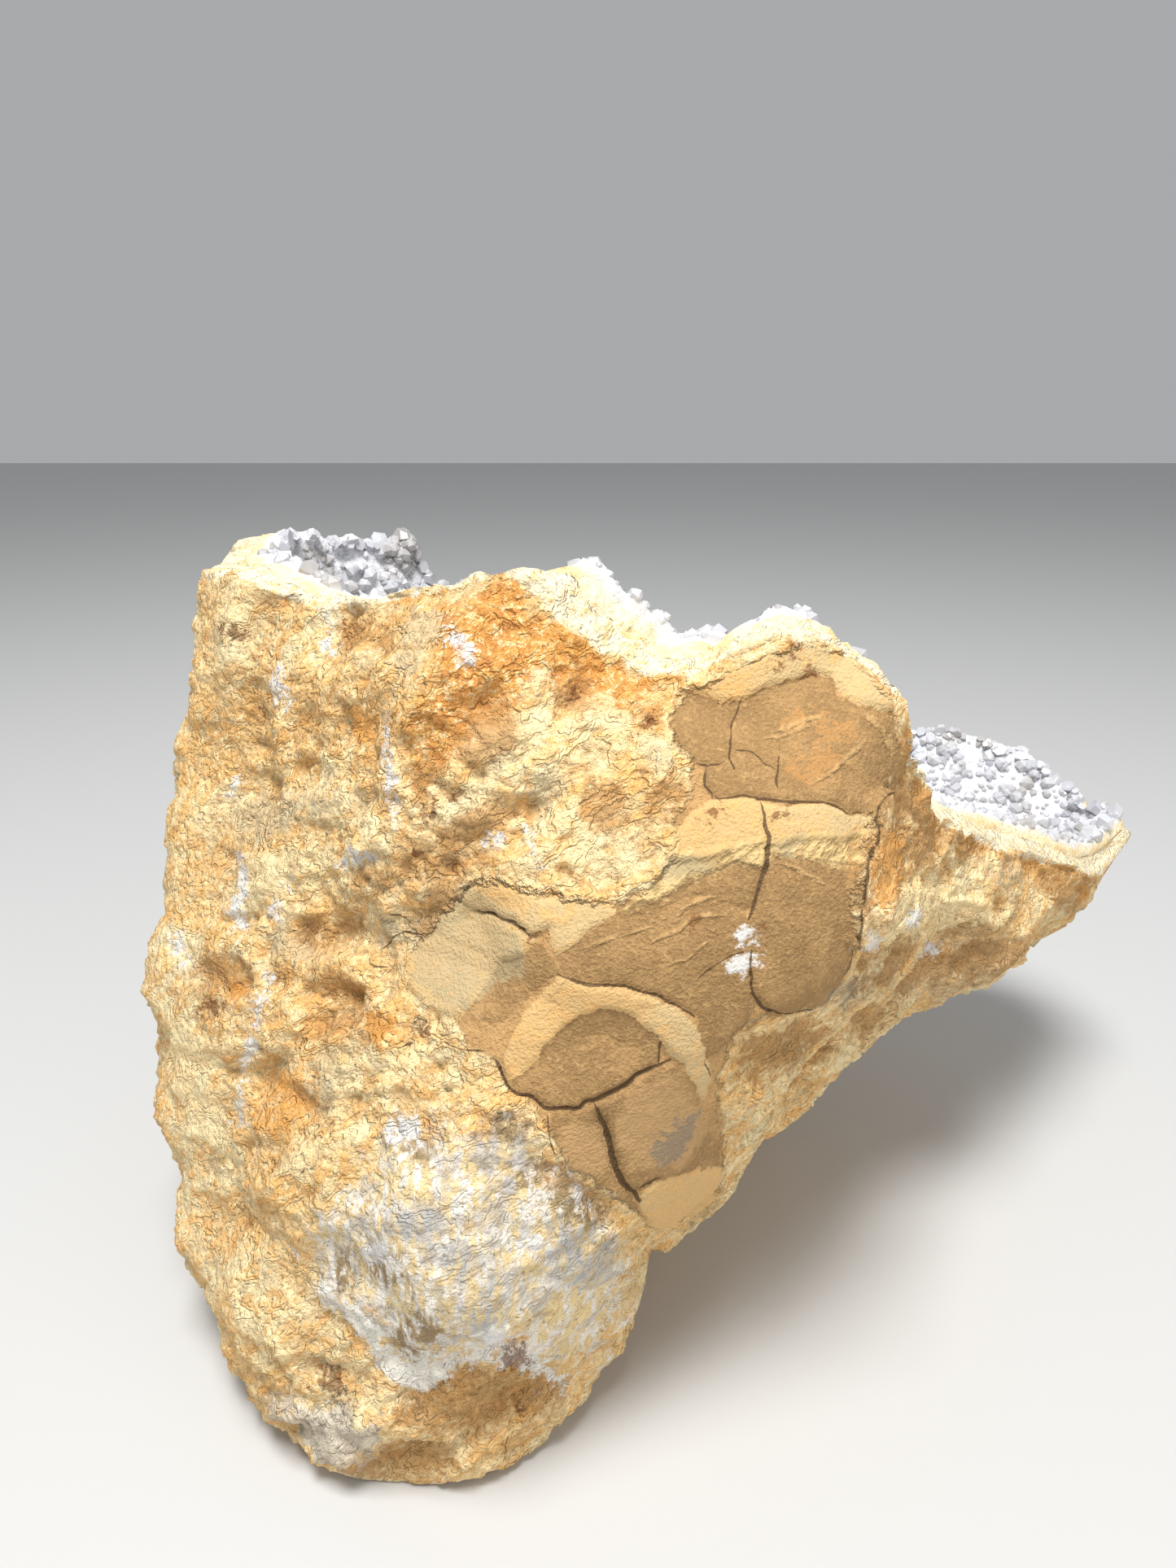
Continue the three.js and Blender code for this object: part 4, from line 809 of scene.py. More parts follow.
# %% Heights of rock and clay
LEFT_FLANK_AT = (-41, -50)  # across the sheet: where the worn flank begins, and where it is full
bent = skin + 2.2 * np.stack([rough(skin, 9, seed, 2) for seed in (91, 92, 93)], axis=-1)
crumbly = smoothstep(-0.6, 0.6, noise(skin, 22, 7) + 0.5 * noise(skin, 9, 8))
granular = within(GRANULAR)
grit = smoothstep(-2, 1, granular + 1.5 * noise(skin, 5, 9))
diagonal = bent @ np.array([[0.87, 0, 0.5], [0, 1, 0], [-0.5, 0, 0.87]]).T
flakes = layers(1.3 * ridges(diagonal * [0.8, 0.8, 1.4], 9, 101, 3), 0.5, 0.12)
rock = (0.6 * rough(bent, 17, 111, 3) + 0.3 * (knobs(bent, 9, 121) - 0.5) * crumbly + 0.8 * flakes
        + 0.35 * ridges(diagonal * [0.9, 0.9, 1.2], 4.0, 131, 3) * (0.5 + 0.7 * crumbly)
        + 0.4 * layers(1.2 * rough(diagonal * [0.8, 0.8, 1.3], 5, 137, 2), 0.6, 0.1)
        + 0.5 * (knobs(skin, 2.3, 141) - 0.4) * np.maximum(0.7 * crumbly, grit)
        + 0.6 * (knobs(skin, 1.3, 143) - 0.4) * grit + 0.3 * rough(skin, 1.5, 151, 2))
rock *= 1 - 0.5 * smoothstep(*LEFT_FLANK_AT, sheet_x) * facing
silk = 0.25 * rough(skin, 12, 161, 2) + 0.05 * rough(skin, 1.4, 171, 2)
spar = within(SPAR_PATCH)
brown, grey, pale, warm, white, seam, clay_ridge = (
    np.where(in_front, strip(sheet_x, sheet_y, lines, 6), -9)
    for lines in (BROWN_STAINS_AND_UNDERSIDE_SHADE, GREY_STAINS_AND_UNDERSIDE_SHADE, PALE_STAINS, WARM_STAINS, VEINS,
                  [(SEAM_HALF_WIDTH, SPAR_SEAM)], CLAY_RIDGES))
white = np.maximum(white, np.where(in_front, spots(sheet_x, sheet_y, WHITE_SPOTS), -9))
ripple = 1.4 * noise(skin, 3.2, 31)
rock *= 1 - 0.6 * smoothstep(-2, 3, spar)
rock -= 0.45 * smoothstep(-1.5, 1.5, brown + ripple) * (spar < 0)
rock += 0.4 * layers(smoothstep(-0.6, 1.2, pale + ripple), 0.5, 0.3)
height = rock * (1 - smooth) + silk * smooth
print("rock and clay:", height.min().round(2), "to", height.max().round(2), "mm")

# %% [markdown]
# The plates come next. Added one by one, each would have a groove round it. Here the height between
# two plates is a mean of both, so that only a crack leaves a groove. The step, the pits and the
# grooves of the cracks follow.

# %% Plates, step, pits and cracks
brown_plate, pale_plate = np.full(skin.shape[:2], -20.0), np.full(skin.shape[:2], -20.0)
weights, raised_sum, cover = 1e-6, 0, 0
for raised, clay_kind, outline in PLATES.values():
    inside = np.where(facing > 0, in_outline(sheet_x, sheet_y, place(outline)), -20.0)
    step = smoothstep(-0.6, 0.15, inside)
    weights, raised_sum, cover = weights + step, raised_sum + raised * step, np.maximum(cover, step)
    if clay_kind == "brown":
        brown_plate = np.maximum(brown_plate, inside)
    else:
        pale_plate = np.maximum(pale_plate, inside)
height += PLATE_SHARE * cover * facing * raised_sum / weights

side, width = beside_line(sheet_x, sheet_y, place(STEP_EDGE), 1.0, STEP_REACH)
beside = (sheet_x < STEP_ENDS_AT) & (np.abs(side) < STEP_REACH) & (width > 0)
left_of = np.where(beside, -side, -9)
step_share = smoothstep(-0.3, 0.3, left_of) * (1 - smoothstep(0, STEP_FADE, left_of))
height += STEP_HEIGHT * step_share * facing

for px, py, radius, depth in PITS:
    sx, sy = place([(px, py)])[0]
    away = np.hypot(sheet_x - sx, (sheet_y - sy) * 1.3) / radius + 0.25 * noise(skin, 3, 181)
    height -= depth * (1 - smoothstep(0.3, 1.1, away)) * facing

crack_and_shadow_side, crack_and_shadow_width = [], []
for group in CRACKS_AND_STEP_SHADOW:
    best_side = np.full(skin.shape[:2], 9.0)
    best_width = -best_side
    for half_width, course in group:
        side, width = beside_line(sheet_x, sheet_y, place(course), half_width, 0.8)
        width = np.where(facing > 0.3, width, -9)
        closer = width > best_width
        best_side = np.where(closer, side, best_side)
        best_width = np.where(closer, width, best_width)
    crack_and_shadow_side.append(best_side)
    crack_and_shadow_width.append(best_width)
    deep = smoothstep(0.25, -0.1, np.abs(best_side) - np.maximum(best_width, 0)) * (best_width > 0)
    height -= deep * np.clip(1.6 * best_width, 0, 0.5)
print("heights from", height.min().round(2), "to", height.max().round(2), "mm")


# %% [markdown]
# Each piece is one closed mesh: a grid that wraps round in one direction, with a fan of triangles to
# a single point at both ends. `foreach_set` writes the whole arrays at once.

# %% Closed mesh from a grid, and the rock
def closed_mesh(name, start, grid, end, masks):
    """Rows of points joined by quads, the first row to `start` and the last to `end` by triangles.
    Each mask becomes a named number on every point."""
    rows, columns = grid.shape[:2]
    points = np.concatenate([start[None], grid.reshape(-1, 3), end[None]])
    ring = np.arange(columns)
    following = np.roll(ring, -1)
    base = 1 + columns * np.arange(rows - 1)[:, None]
    quads = np.stack([base + ring, base + following, base + columns + following,
                      base + columns + ring], axis=-1).reshape(-1, 4)
    first = np.stack([np.zeros(columns, int), 1 + following, 1 + ring], axis=-1)
    top = 1 + columns * (rows - 1)
    last = np.stack([np.full(columns, len(points) - 1), top + ring, top + following], axis=-1)
    faces = [*quads.tolist(), *first.tolist(), *last.tolist()]
    mesh = bpy.data.meshes.new(name)
    mesh.from_pydata(((points + SHIFT) * MM).tolist(), [], faces)
    for key, values in masks.items():
        padded = np.concatenate([values[0, :1], values.ravel(), values[-1, :1]])
        mesh.attributes.new(key, "FLOAT", "POINT").data.foreach_set("value", padded.astype(np.float32))
    volume = np.sum(points[quads[:, 0]] * np.cross(points[quads[:, 1]], points[quads[:, 2]]))
    if volume < 0:
        mesh.flip_normals()
    mesh.polygons.foreach_set("use_smooth", np.ones(len(mesh.polygons), bool))
    piece = bpy.data.objects.new(name, mesh)
    bpy.context.scene.collection.objects.link(piece)
    print(name, "faces:", len(mesh.polygons), "of them triangles:", 2 * columns)
    return piece


def calmed(ring):
    """A ring averaged over its neighbours. The rounds grow with the square of the columns, so that
    the evening out reaches as far as on the CAD part's coarser ring."""
    for _ in range(int(CALM_ROUNDS * (COLUMNS / CAD_COLUMNS) ** 2)):
        ring = 0.25 * np.roll(ring, 1, axis=0) + 0.5 * ring + 0.25 * np.roll(ring, -1, axis=0)
    return ring


def hollow(ring, floor):
    """A bowl below a ring: quarter superellipses from the ring, at 90 degrees, to one lowest point.
    Deeper down the ring's own unevenness fades out."""
    bottom = CENTRE - floor * AXIS
    rise = (ring - bottom) @ AXIS
    flat = ring - bottom - rise[:, None] * AXIS
    calm_rise, calm_flat = calmed(rise), calmed(flat)

    def rows(angles):
        keep = np.sin(angles)[:, None] ** 6
        across = calm_flat + (flat - calm_flat) * keep[..., None]
        up = calm_rise + (rise - calm_rise) * keep
        return (bottom + across * np.sin(angles)[:, None, None] ** FULLNESS
                + up[..., None] * (1 - np.cos(angles))[:, None, None] * AXIS)

    return bottom, rows


rim = skin[-1]
lip = rim - rim_inward[:, None] * circle + rim_climb[:, None] * AXIS


def broken_edge(shares):
    """Rows across the broken edge, from the rim at share 0 to the hollow's lip at share 1."""
    return rim + (lip - rim) * np.asarray(shares)[:, None, None]


edge = broken_edge(np.linspace(0, RIND_SHARE, EDGE_ROWS + 1)[1:])
edge_out = normals(np.concatenate([skin[-2:], edge]))[2:]
edge_height = 0.7 * (knobs(edge, 2.4, 201) - 0.4) + 0.5 * rough(edge, 3, 211, 3)
wall_bottom, wall_rows = hollow(edge[-1], HOLLOW_FLOOR + CRUST_THICKNESS)
wall = wall_rows(np.linspace(np.pi / 2, 0, WALL_ROWS + 1)[1:-1])

fade = smoothstep(0, 3, skin[..., 2])[..., None]
surface = np.concatenate([skin + out * height[..., None] * fade,
                          edge + edge_out * edge_height[..., None]])
surface[..., 2] = np.maximum(surface[..., 2], 0)
grid = np.concatenate([surface, wall])


def extend(values, beyond=-9.0):
    """A mask of the skin's rows, continued over the edge and the wall by a constant."""
    more = len(grid) - SKIN_ROWS
    return np.concatenate([values, np.full((more, COLUMNS), beyond)])


past_rim = np.concatenate([
    (polar - rim_polar) * np.linalg.norm(skin - CENTRE, axis=-1),
    np.linspace(0.4, 5, EDGE_ROWS)[:, None] + np.zeros(COLUMNS),
    np.full((len(wall), COLUMNS), 5.0)])
masks = {"past_rim": past_rim, "height": extend(height - 0.6 * rough(bent, 17, 111, 3), 0)}
for name, values in {
        "clay": clay, "brown_plate": brown_plate, "pale_plate": pale_plate, "granular": granular,
        "spar": spar, "seam": seam, "brown": brown, "grey": grey, "pale": pale, "warm": warm,
        "white": white, "clay_ridge": clay_ridge,
        "rust": np.where(in_front, spots(sheet_x, sheet_y, RUST_SPOTS), -9),
        "scarp": within(SCARP), "white_foot": within(WHITE_FOOT),
        "grey_stain": within(GREY_STAIN), "blue_stain": within(BLUE_STAIN)}.items():
    masks[name] = extend(values)
for k in range(len(CRACKS_AND_STEP_SHADOW)):
    masks[f"crack_{k}_side"] = extend(crack_and_shadow_side[k], 9)
    masks[f"crack_{k}_width"] = extend(crack_and_shadow_width[k], -9)
foot = skin_points(np.zeros(COLUMNS))[0]
rind = closed_mesh("stone", foot, grid, wall_bottom, masks)

# %% [markdown]
# ## The crust and its crystals
#
# The crust is a second bowl inside the first. Its broken edge shows as a cream, sugary band. It
# starts a little inside the rock's edge, so that no gap shows between the two.

# %% Bowl of the crust
CRUST_START, CRUST_EDGE_ROWS, BOWL_ROWS, BED_ROWS = 0.47, 16, 84, 4
crust_edge = broken_edge(np.linspace(CRUST_START, 1, CRUST_EDGE_ROWS))
bowl_bottom, bowl_rows = hollow(lip, HOLLOW_FLOOR)
bowl = bowl_rows(np.linspace(np.pi / 2, 0, BOWL_ROWS + 1)[1:-1])
shown = np.concatenate([crust_edge, bowl])
bowl_out = normals(shown)
towards_mouth = CENTRE + 40 * AXIS
bowl_out[CRUST_EDGE_ROWS:] *= np.sign(
    np.sum(bowl_out * (towards_mouth - shown), axis=-1, keepdims=True))[CRUST_EDGE_ROWS:]
sugar = (0.9 * (knobs(shown, 3.0, 221) - 0.3) + 0.5 * (knobs(shown, 1.5, 231) - 0.3)
         + 0.5 * rough(shown, 5, 241, 3))
sugar[:2] *= 0.3
sugared = shown + bowl_out * sugar[..., None]
bed_bottom, bed_rows = hollow(crust_edge[0], HOLLOW_FLOOR + CRUST_THICKNESS - 0.6)
bed = bed_rows(np.linspace(np.pi / 2, 0, BED_ROWS + 1)[1:-1])
crust_grid = np.concatenate([bed[::-1], sugared])
inward_share = np.concatenate([
    np.zeros((len(bed), COLUMNS)),
    np.linspace(CRUST_START, 1, CRUST_EDGE_ROWS)[:, None] + np.zeros(COLUMNS),
    np.full((len(bowl), COLUMNS), 2.0)])
crust = closed_mesh("crust_bed", bed_bottom, crust_grid, bowl_bottom, {"inward": inward_share})

# %% [markdown]
# Quartz grows as six-sided columns with pointed ends, crowded so that mostly the tips show. Each
# crystal is worked out from a place on the bowl, its outward direction, a radius and a length. The
# places are drawn at random from the bowl's cells, in proportion to their area.

# %% Crystals
rng = np.random.default_rng(12)
CRYSTALS = 8800
RADIUS, LENGTH, LEANING, NARROWING, TIP = (0.5, 1.6), (0.0, 0.9), 0.4, 0.85, 0.6


def scatter(count, rows_from):
    """Random places on the shown bowl from a row on: cells weighted by their area, then a random
    spot in the cell. Returns points and directions out of the surface."""
    grid_points, grid_out = sugared[rows_from:], bowl_out[rows_from:]
    a = np.roll(grid_points, -1, axis=1)[:-1] - grid_points[:-1]
    b = grid_points[1:] - grid_points[:-1]
    area = np.linalg.norm(np.cross(a, b), axis=-1)
    cell = rng.choice(area.size, count, p=(area / area.sum()).ravel())
    row, column = np.unravel_index(cell, area.shape)
    u, v = rng.random((2, count, 1))
    points = grid_points[row, column] + u * a[row, column] + v * b[row, column]
    return points, grid_out[row, column], float(area.sum())


def crystal_points(root, up, radius, length, spin):
    """13 corners for each crystal: six at the root, six at the shoulder, one tip. Corner k of a ring
    lies at angle spin + 60 k degrees; the shoulder is narrower, the tip a radius or so above it."""
    helper = np.where(np.abs(up[:, 2:]) < 0.9, [[0, 0, 1.0]], [[1.0, 0, 0]])
    one = unit(np.cross(up, helper))
    two = np.cross(up, one)
    angle = spin[:, None] + np.radians(60) * np.arange(6)
    ring = (np.cos(angle)[..., None] * one[:, None] + np.sin(angle)[..., None] * two[:, None])
    ring = ring * radius[:, None, None] * rng.uniform(0.85, 1.15, angle.shape)[..., None]
    low = root[:, None] - up[:, None] * 1.2 + ring
    shoulder = root[:, None] + up[:, None] * length[:, None, None] + ring * NARROWING
    tip = root + up * (length + TIP * radius)[:, None] + ring[:, 0] * 0.25
    return np.concatenate([low, shoulder, tip[:, None]], axis=1)


root, up, bowl_area = scatter(CRYSTALS, CRUST_EDGE_ROWS - 4)
grown = rng.random(CRYSTALS) ** 2.2
radius = RADIUS[0] + (RADIUS[1] - RADIUS[0]) * grown
length = LENGTH[0] + (LENGTH[1] - LENGTH[0]) * grown * rng.uniform(0.5, 1, CRYSTALS)
up = unit(up + rng.normal(0, LEANING / 1.7, (CRYSTALS, 3)))
corners = crystal_points(root, up, radius, length, rng.uniform(0, np.pi, CRYSTALS))
k = np.arange(6)
n = (k + 1) % 6
one_quads = np.stack([k, n, n + 6, k + 6], axis=-1)
one_tips = np.stack([k + 6, n + 6, np.full(6, 12)], axis=-1)
offset = 13 * np.arange(CRYSTALS)[:, None, None]
faces = [*(one_quads + offset).reshape(-1, 4).tolist(), *(one_tips + offset).reshape(-1, 3).tolist(),
         *(np.arange(5, -1, -1)[None] + offset[:, 0]).tolist()]
mesh = bpy.data.meshes.new("crystals")
mesh.from_pydata(((corners.reshape(-1, 3) + SHIFT) * MM).tolist(), [], faces)
shade = np.repeat(rng.random(CRYSTALS), 13).astype(np.float32)
mesh.attributes.new("shade", "FLOAT", "POINT").data.foreach_set("value", shade)
crystals = bpy.data.objects.new("crystals", mesh)
bpy.context.scene.collection.objects.link(crystals)
print("crystals:", CRYSTALS, "on", round(bowl_area), "square mm; triangles:", CRYSTALS * 22)

# %% [markdown]
# ## Colours
#
# The rock is matt and dusty, so its shader is plain: a colour, a high roughness and a fine bump. The
# colour is mixed from noises of several sizes and from the masks on the points. A mask holds a
# distance, so a sharp step on it gives a crisp crack even where the grid is coarser than the crack.

# %% A short way to write shaders
def linear(colour):
    """Display values made into the linear ones that shaders take."""
    c = np.array(colour, float)
    return (*np.where(c <= 0.04045, c / 12.92, ((c + 0.055) / 1.055) ** 2.4), 1.0)


class Paint:
    """A material whose nodes are made by short calls. Each call returns an output socket."""

    def __init__(self, name):
        self.material = bpy.data.materials.new(name)
        self.material.use_nodes = True
        self.nodes, self.links = self.material.node_tree.nodes, self.material.node_tree.links
        self.shader = self.nodes["Principled BSDF"]
        at = self.nodes.new("ShaderNodeTexCoord").outputs["Object"]
        self.millimetres = self.vector("SCALE", at, scale=1000.0)
        turn = self.nodes.new("ShaderNodeVectorRotate")
        turn.rotation_type = "Y_AXIS"
        turn.inputs["Angle"].default_value = 0.6
        self.put(self.millimetres, turn.inputs["Vector"])
        self.tilted = turn.outputs[0]

    def put(self, value, socket):
        """Links a socket, or sets a plain number or colour on it."""
        if isinstance(value, bpy.types.NodeSocket):
            self.links.new(value, socket)
        else:
            socket.default_value = value

    def vector(self, operation, first, second=(0, 0, 0), scale=1.0):
        """Two vectors put through one operation, or one vector times a scale."""
        node = self.nodes.new("ShaderNodeVectorMath")
        node.operation = operation
        self.put(first, node.inputs[0])
        if operation == "SCALE":
            node.inputs["Scale"].default_value = scale
        else:
            self.put(second, node.inputs[1])
        return node.outputs[0]

    def math(self, operation, first, second=0.0):
        """Two numbers put through one operation."""
        node = self.nodes.new("ShaderNodeMath")
        node.operation = operation
        self.put(first, node.inputs[0])
        self.put(second, node.inputs[1])
        return node.outputs[0]

    def mask(self, name):
        """The number that each point of the mesh holds under this name."""
        node = self.nodes.new("ShaderNodeAttribute")
        node.attribute_name = name
        return node.outputs["Fac"]

    def noise(self, size, detail=3.0, roughness=0.55, stretch=(1, 1, 1), tilted=False):
        """Noise from 0 to 1 with lumps about `size` millimetres across. Tilted, its stretch runs
        up and to the right instead of level."""
        node = self.nodes.new("ShaderNodeTexNoise")
        at = self.vector("MULTIPLY", self.tilted if tilted else self.millimetres, stretch)
        self.put(at, node.inputs["Vector"])
        node.inputs["Scale"].default_value = 1 / size
        node.inputs["Detail"].default_value = detail
        node.inputs["Roughness"].default_value = roughness
        return node.outputs["Fac"]

    def crumbs(self, size):
        """Rounded crumbs: 1 at scattered middles about `size` mm apart, less between them."""
        node = self.nodes.new("ShaderNodeTexVoronoi")
        self.put(self.millimetres, node.inputs["Vector"])
        node.inputs["Scale"].default_value = 1 / size
        return self.math("SUBTRACT", 1.0, node.outputs["Distance"])

    def step(self, low, high, value):
        """0 where the value is below low, 1 where it is above high."""
        node = self.nodes.new("ShaderNodeMapRange")
        node.interpolation_type = "SMOOTHSTEP"
        self.put(value, node.inputs["Value"])
        rising = high > low
        node.inputs["From Min"].default_value = low if rising else high
        node.inputs["From Max"].default_value = high if rising else low
        node.inputs["To Min"].default_value = 0.0 if rising else 1.0
        node.inputs["To Max"].default_value = 1.0 if rising else 0.0
        return node.outputs["Result"]

    def mix(self, share, first, second):
        """First times one less the share, plus second times the share."""
        node = self.nodes.new("ShaderNodeMix")
        node.data_type = "RGBA"
        self.put(share, node.inputs[0])
        self.put(linear(first) if isinstance(first, tuple) else first, node.inputs[6])
        self.put(linear(second) if isinstance(second, tuple) else second, node.inputs[7])
        return node.outputs[2]

    def times(self, *values):
        """All the values multiplied."""
        total = values[0]
        for value in values[1:]:
            total = self.math("MULTIPLY", total, value)
        return total

    def plus(self, *values):
        """All the values added."""
        total = values[0]
        for value in values[1:]:
            total = self.math("ADD", total, value)
        return total

    def bump(self, height_mm):
        """A bump whose height is in millimetres."""
        node = self.nodes.new("ShaderNodeBump")
        node.inputs["Distance"].default_value = MM
        node.inputs["Strength"].default_value = 1.0
        self.put(height_mm, node.inputs["Height"])
        self.links.new(node.outputs["Normal"], self.shader.inputs["Normal"])

# %% [markdown]
# The rock is iron-stained: ochre, with richer flakes, pale ones and olive ones. Painted shade darkens
# its low places brown and the gaps between the crumbs to earth, and painted light makes its high
# places paler. One noise with a colour ramp would do for a stone far away. Close by, each kind of
# flake needs a size and a slant of its own, so the colours are laid over each other one by one.

# %% The rock's colours
OCHRE, RICH, PALE = (0.95, 0.80, 0.56), (0.93, 0.70, 0.40), (0.97, 0.88, 0.68)
# The earth colour serves as painted shade between the crumbs and also as dark earthy specks.
EARTH_AND_SHADE, CREAM, WHITE = (0.60, 0.43, 0.26), (0.94, 0.88, 0.74), (0.90, 0.89, 0.87)
CLAY_PALE, CLAY_TAN, CLAY_BROWN = (0.83, 0.68, 0.46), (0.75, 0.59, 0.39), (0.605, 0.475, 0.31)
ORANGE, OLIVE, BROWN = (0.86, 0.60, 0.29), (0.78, 0.71, 0.57), (0.70, 0.52, 0.31)
RUST, CRACK_AND_SHADOW_COLOUR, GREY = (0.48, 0.30, 0.17), (0.33, 0.25, 0.17), (0.47, 0.45, 0.41)

p = Paint("weathered_rock")
broad, medium, fine = p.noise(16, 2), p.noise(5, 3, 0.6), p.noise(1.5, 3, 0.65)
grain, dust = p.noise(0.4, 1, 0.7), p.noise(0.9, 3, 0.75)
flake = p.noise(5.5, 3, 0.58, (0.7, 1, 1.2), tilted=True)
small_flake = p.noise(1.7, 3, 0.72, (0.8, 1, 1.2), tilted=True)
crumb, small_crumb = p.crumbs(1.1), p.crumbs(0.5)


def share_of(name, low, high, medium_wobble, fine_wobble, dust_wobble=0.0):
    """How much of a mark shows: a step on its distance mask, with its edge pushed about by noise."""
    wobbles = ((medium, medium_wobble), (fine, fine_wobble), (dust, dust_wobble))
    pushes = [p.times(p.plus(each, -0.5), wobble) for each, wobble in wobbles if wobble]
    return p.step(low, high, p.plus(p.mask(name), *pushes))


# Painted shade and painted light: the relief's low places are darkened brown, its high places made
# paler.
shaded_low_places = p.step(0.1, -0.8, p.plus(p.mask("height"), p.times(p.plus(fine, -0.5), 2.0)))
lit_high_places = p.step(0.4, 1.4, p.plus(p.mask("height"), p.times(p.plus(fine, -0.5), 2.0)))
colour = p.mix(p.step(0.42, 0.58, broad), OCHRE, PALE)
colour = p.mix(p.times(p.step(0.485, 0.515, flake), 0.55), colour, RICH)
colour = p.mix(p.times(p.step(0.575, 0.60, flake), 0.6), colour, PALE)
colour = p.mix(p.times(p.step(0.42, 0.39, flake), 0.5), colour, OLIVE)
colour = p.mix(p.times(shaded_low_places, 0.32), colour, BROWN)
colour = p.mix(p.times(lit_high_places, 0.4), colour, PALE)
colour = p.mix(p.times(p.step(0.55, 0.60, small_flake), 0.5), colour, RICH)
colour = p.mix(p.times(p.step(0.45, 0.40, small_flake), 0.5), colour, PALE)
# Painted shade: the gaps between the crumbs are darkened to an earth colour.
shade_between_crumbs = p.step(0.45, 0.15, p.plus(p.times(crumb, 0.5), p.times(small_crumb, 0.5)))
colour = p.mix(p.times(shade_between_crumbs, 0.4), colour, EARTH_AND_SHADE)
colour = p.mix(p.times(p.step(0.62, 0.72, dust), 0.4), colour, EARTH_AND_SHADE)
granular_colour = p.mix(p.step(0.44, 0.56, small_flake), (0.80, 0.53, 0.24), (0.87, 0.64, 0.34))
granular_colour = p.mix(p.times(p.step(0.53, 0.58, dust), 0.7), granular_colour, PALE)
granular_colour = p.mix(p.times(p.step(0.46, 0.40, dust), 0.6), granular_colour, (0.66, 0.42, 0.20))
colour = p.mix(p.times(share_of("granular", -1.5, 2.0, 12, 5), 0.9), colour, granular_colour)
near_rim = p.times(p.step(-7, -1, p.mask("past_rim")), p.step(0.46, 0.56, medium))
colour = p.mix(p.times(near_rim, 0.55), colour, ORANGE)
# The brown and grey marks include painted shade on the wing's underside.
for name, mark, strength, low, high in (
        ("pale", PALE, 0.6, -0.8, 1.0), ("grey", OLIVE, 0.65, -1.0, 1.4),
        ("brown", BROWN, 0.75, -1.0, 1.6), ("warm", ORANGE, 0.7, -0.8, 1.2)):
    colour = p.mix(p.times(share_of(name, low, high, 9, 7, 6), strength), colour, mark)
print("rock nodes so far:", len(p.nodes))

# %% [markdown]
# The foot carries a patch of fibrous spar: cream and white, clouded grey and brown, with a white seam
# below it. Its fibres stand upright, so its noise is stretched along Z.

# %% Spar patch and seam
streak, wisp = p.noise(1.3, 3, 0.7, (1, 1, 0.3)), p.noise(4.5, 3, 0.65, (1, 1, 0.8))
spar = p.mix(p.step(0.44, 0.58, streak), (0.90, 0.80, 0.60), (0.92, 0.90, 0.86))
spar = p.mix(p.times(p.step(0.50, 0.60, wisp), 0.7), spar, (0.70, 0.68, 0.65))
spar = p.mix(p.times(share_of("grey", -2.0, 2.0, 12, 8, 6), p.step(0.36, 0.56, streak), 0.75), spar,
             (0.66, 0.66, 0.66))
spar = p.mix(p.times(p.step(0.54, 0.66, small_flake), 0.5), spar, (0.66, 0.56, 0.42))
spar = p.mix(p.times(share_of("brown", -2.0, 2.2, 12, 8, 6), p.step(0.60, 0.44, streak), 0.8), spar,
             (0.50, 0.42, 0.31))
spar = p.mix(p.times(p.step(0.60, 0.68, dust), 0.6), spar, (0.52, 0.45, 0.36))
colour = p.mix(p.times(share_of("spar", -2.0, 2.5, 18, 8), 0.9), colour, spar)
colour = p.mix(p.times(share_of("white_foot", -0.5, 1.5, 10, 5), 0.75), colour, (0.84, 0.80, 0.73))
colour = p.mix(p.times(share_of("white_foot", -0.5, 1.5, 10, 5), p.step(0.52, 0.6, wisp), 0.6), colour,
               (0.52, 0.46, 0.39))
colour = p.mix(p.times(share_of("seam", -0.8, 0.6, 7, 6), 0.9), colour, (0.93, 0.91, 0.86))
print("with the spar:", len(p.nodes))

# %% [markdown]
# The clay is brown where it dried smooth and pale where a layer has broken off. Each kind has a mask
# of its own. Where the two meet, the deeper one wins, which keeps the border crisp. A sandy grain,
# rusty scuffs and the pale edges of broken layers lie over both.

# %% Clay
nearer = p.plus(p.mask("brown_plate"), p.times(p.mask("pale_plate"), -1.0),
                p.times(p.plus(fine, -0.5), 3.5), p.times(p.plus(dust, -0.5), 1.5))
brown_share = p.times(share_of("brown_plate", -0.55, -0.25, 1.0, 1.6, 0.6), p.step(-0.1, 0.1, nearer))
pale_share = p.times(share_of("pale_plate", -0.6, -0.2, 1.0, 1.6, 0.6), p.step(0.1, -0.1, nearer))
clay_colour = p.mix(p.step(0.44, 0.60, medium), CLAY_TAN, p.mix(0.5, CLAY_TAN, CLAY_BROWN))
pale_tone = p.mix(p.step(0.46, 0.58, broad), CLAY_PALE, (0.80, 0.69, 0.50))
pale_tone = p.mix(p.times(p.step(0.53, 0.62, small_flake), 0.45), pale_tone, RICH)
clay_colour = p.mix(pale_share, clay_colour, pale_tone)
brown_tone = p.mix(p.step(0.45, 0.65, medium), CLAY_BROWN, (0.67, 0.53, 0.35))
clay_colour = p.mix(brown_share, clay_colour, brown_tone)
scratch = p.noise(1.5, 2, 0.65, (0.25, 1, 1.6), tilted=True)
scarp_share = share_of("scarp", -0.5, 0.5, 2, 3.5, 2)
clay_colour = p.mix(p.times(scarp_share, 0.85), clay_colour, p.mix(
    p.step(0.45, 0.55, scratch), (0.70, 0.60, 0.41), (0.89, 0.77, 0.54)))
clay_colour = p.mix(p.times(p.step(0.55, 0.68, dust), 0.35), clay_colour, CLAY_PALE)
dark_grains = p.math("SUBTRACT", 0.25, p.times(pale_share, 0.15))
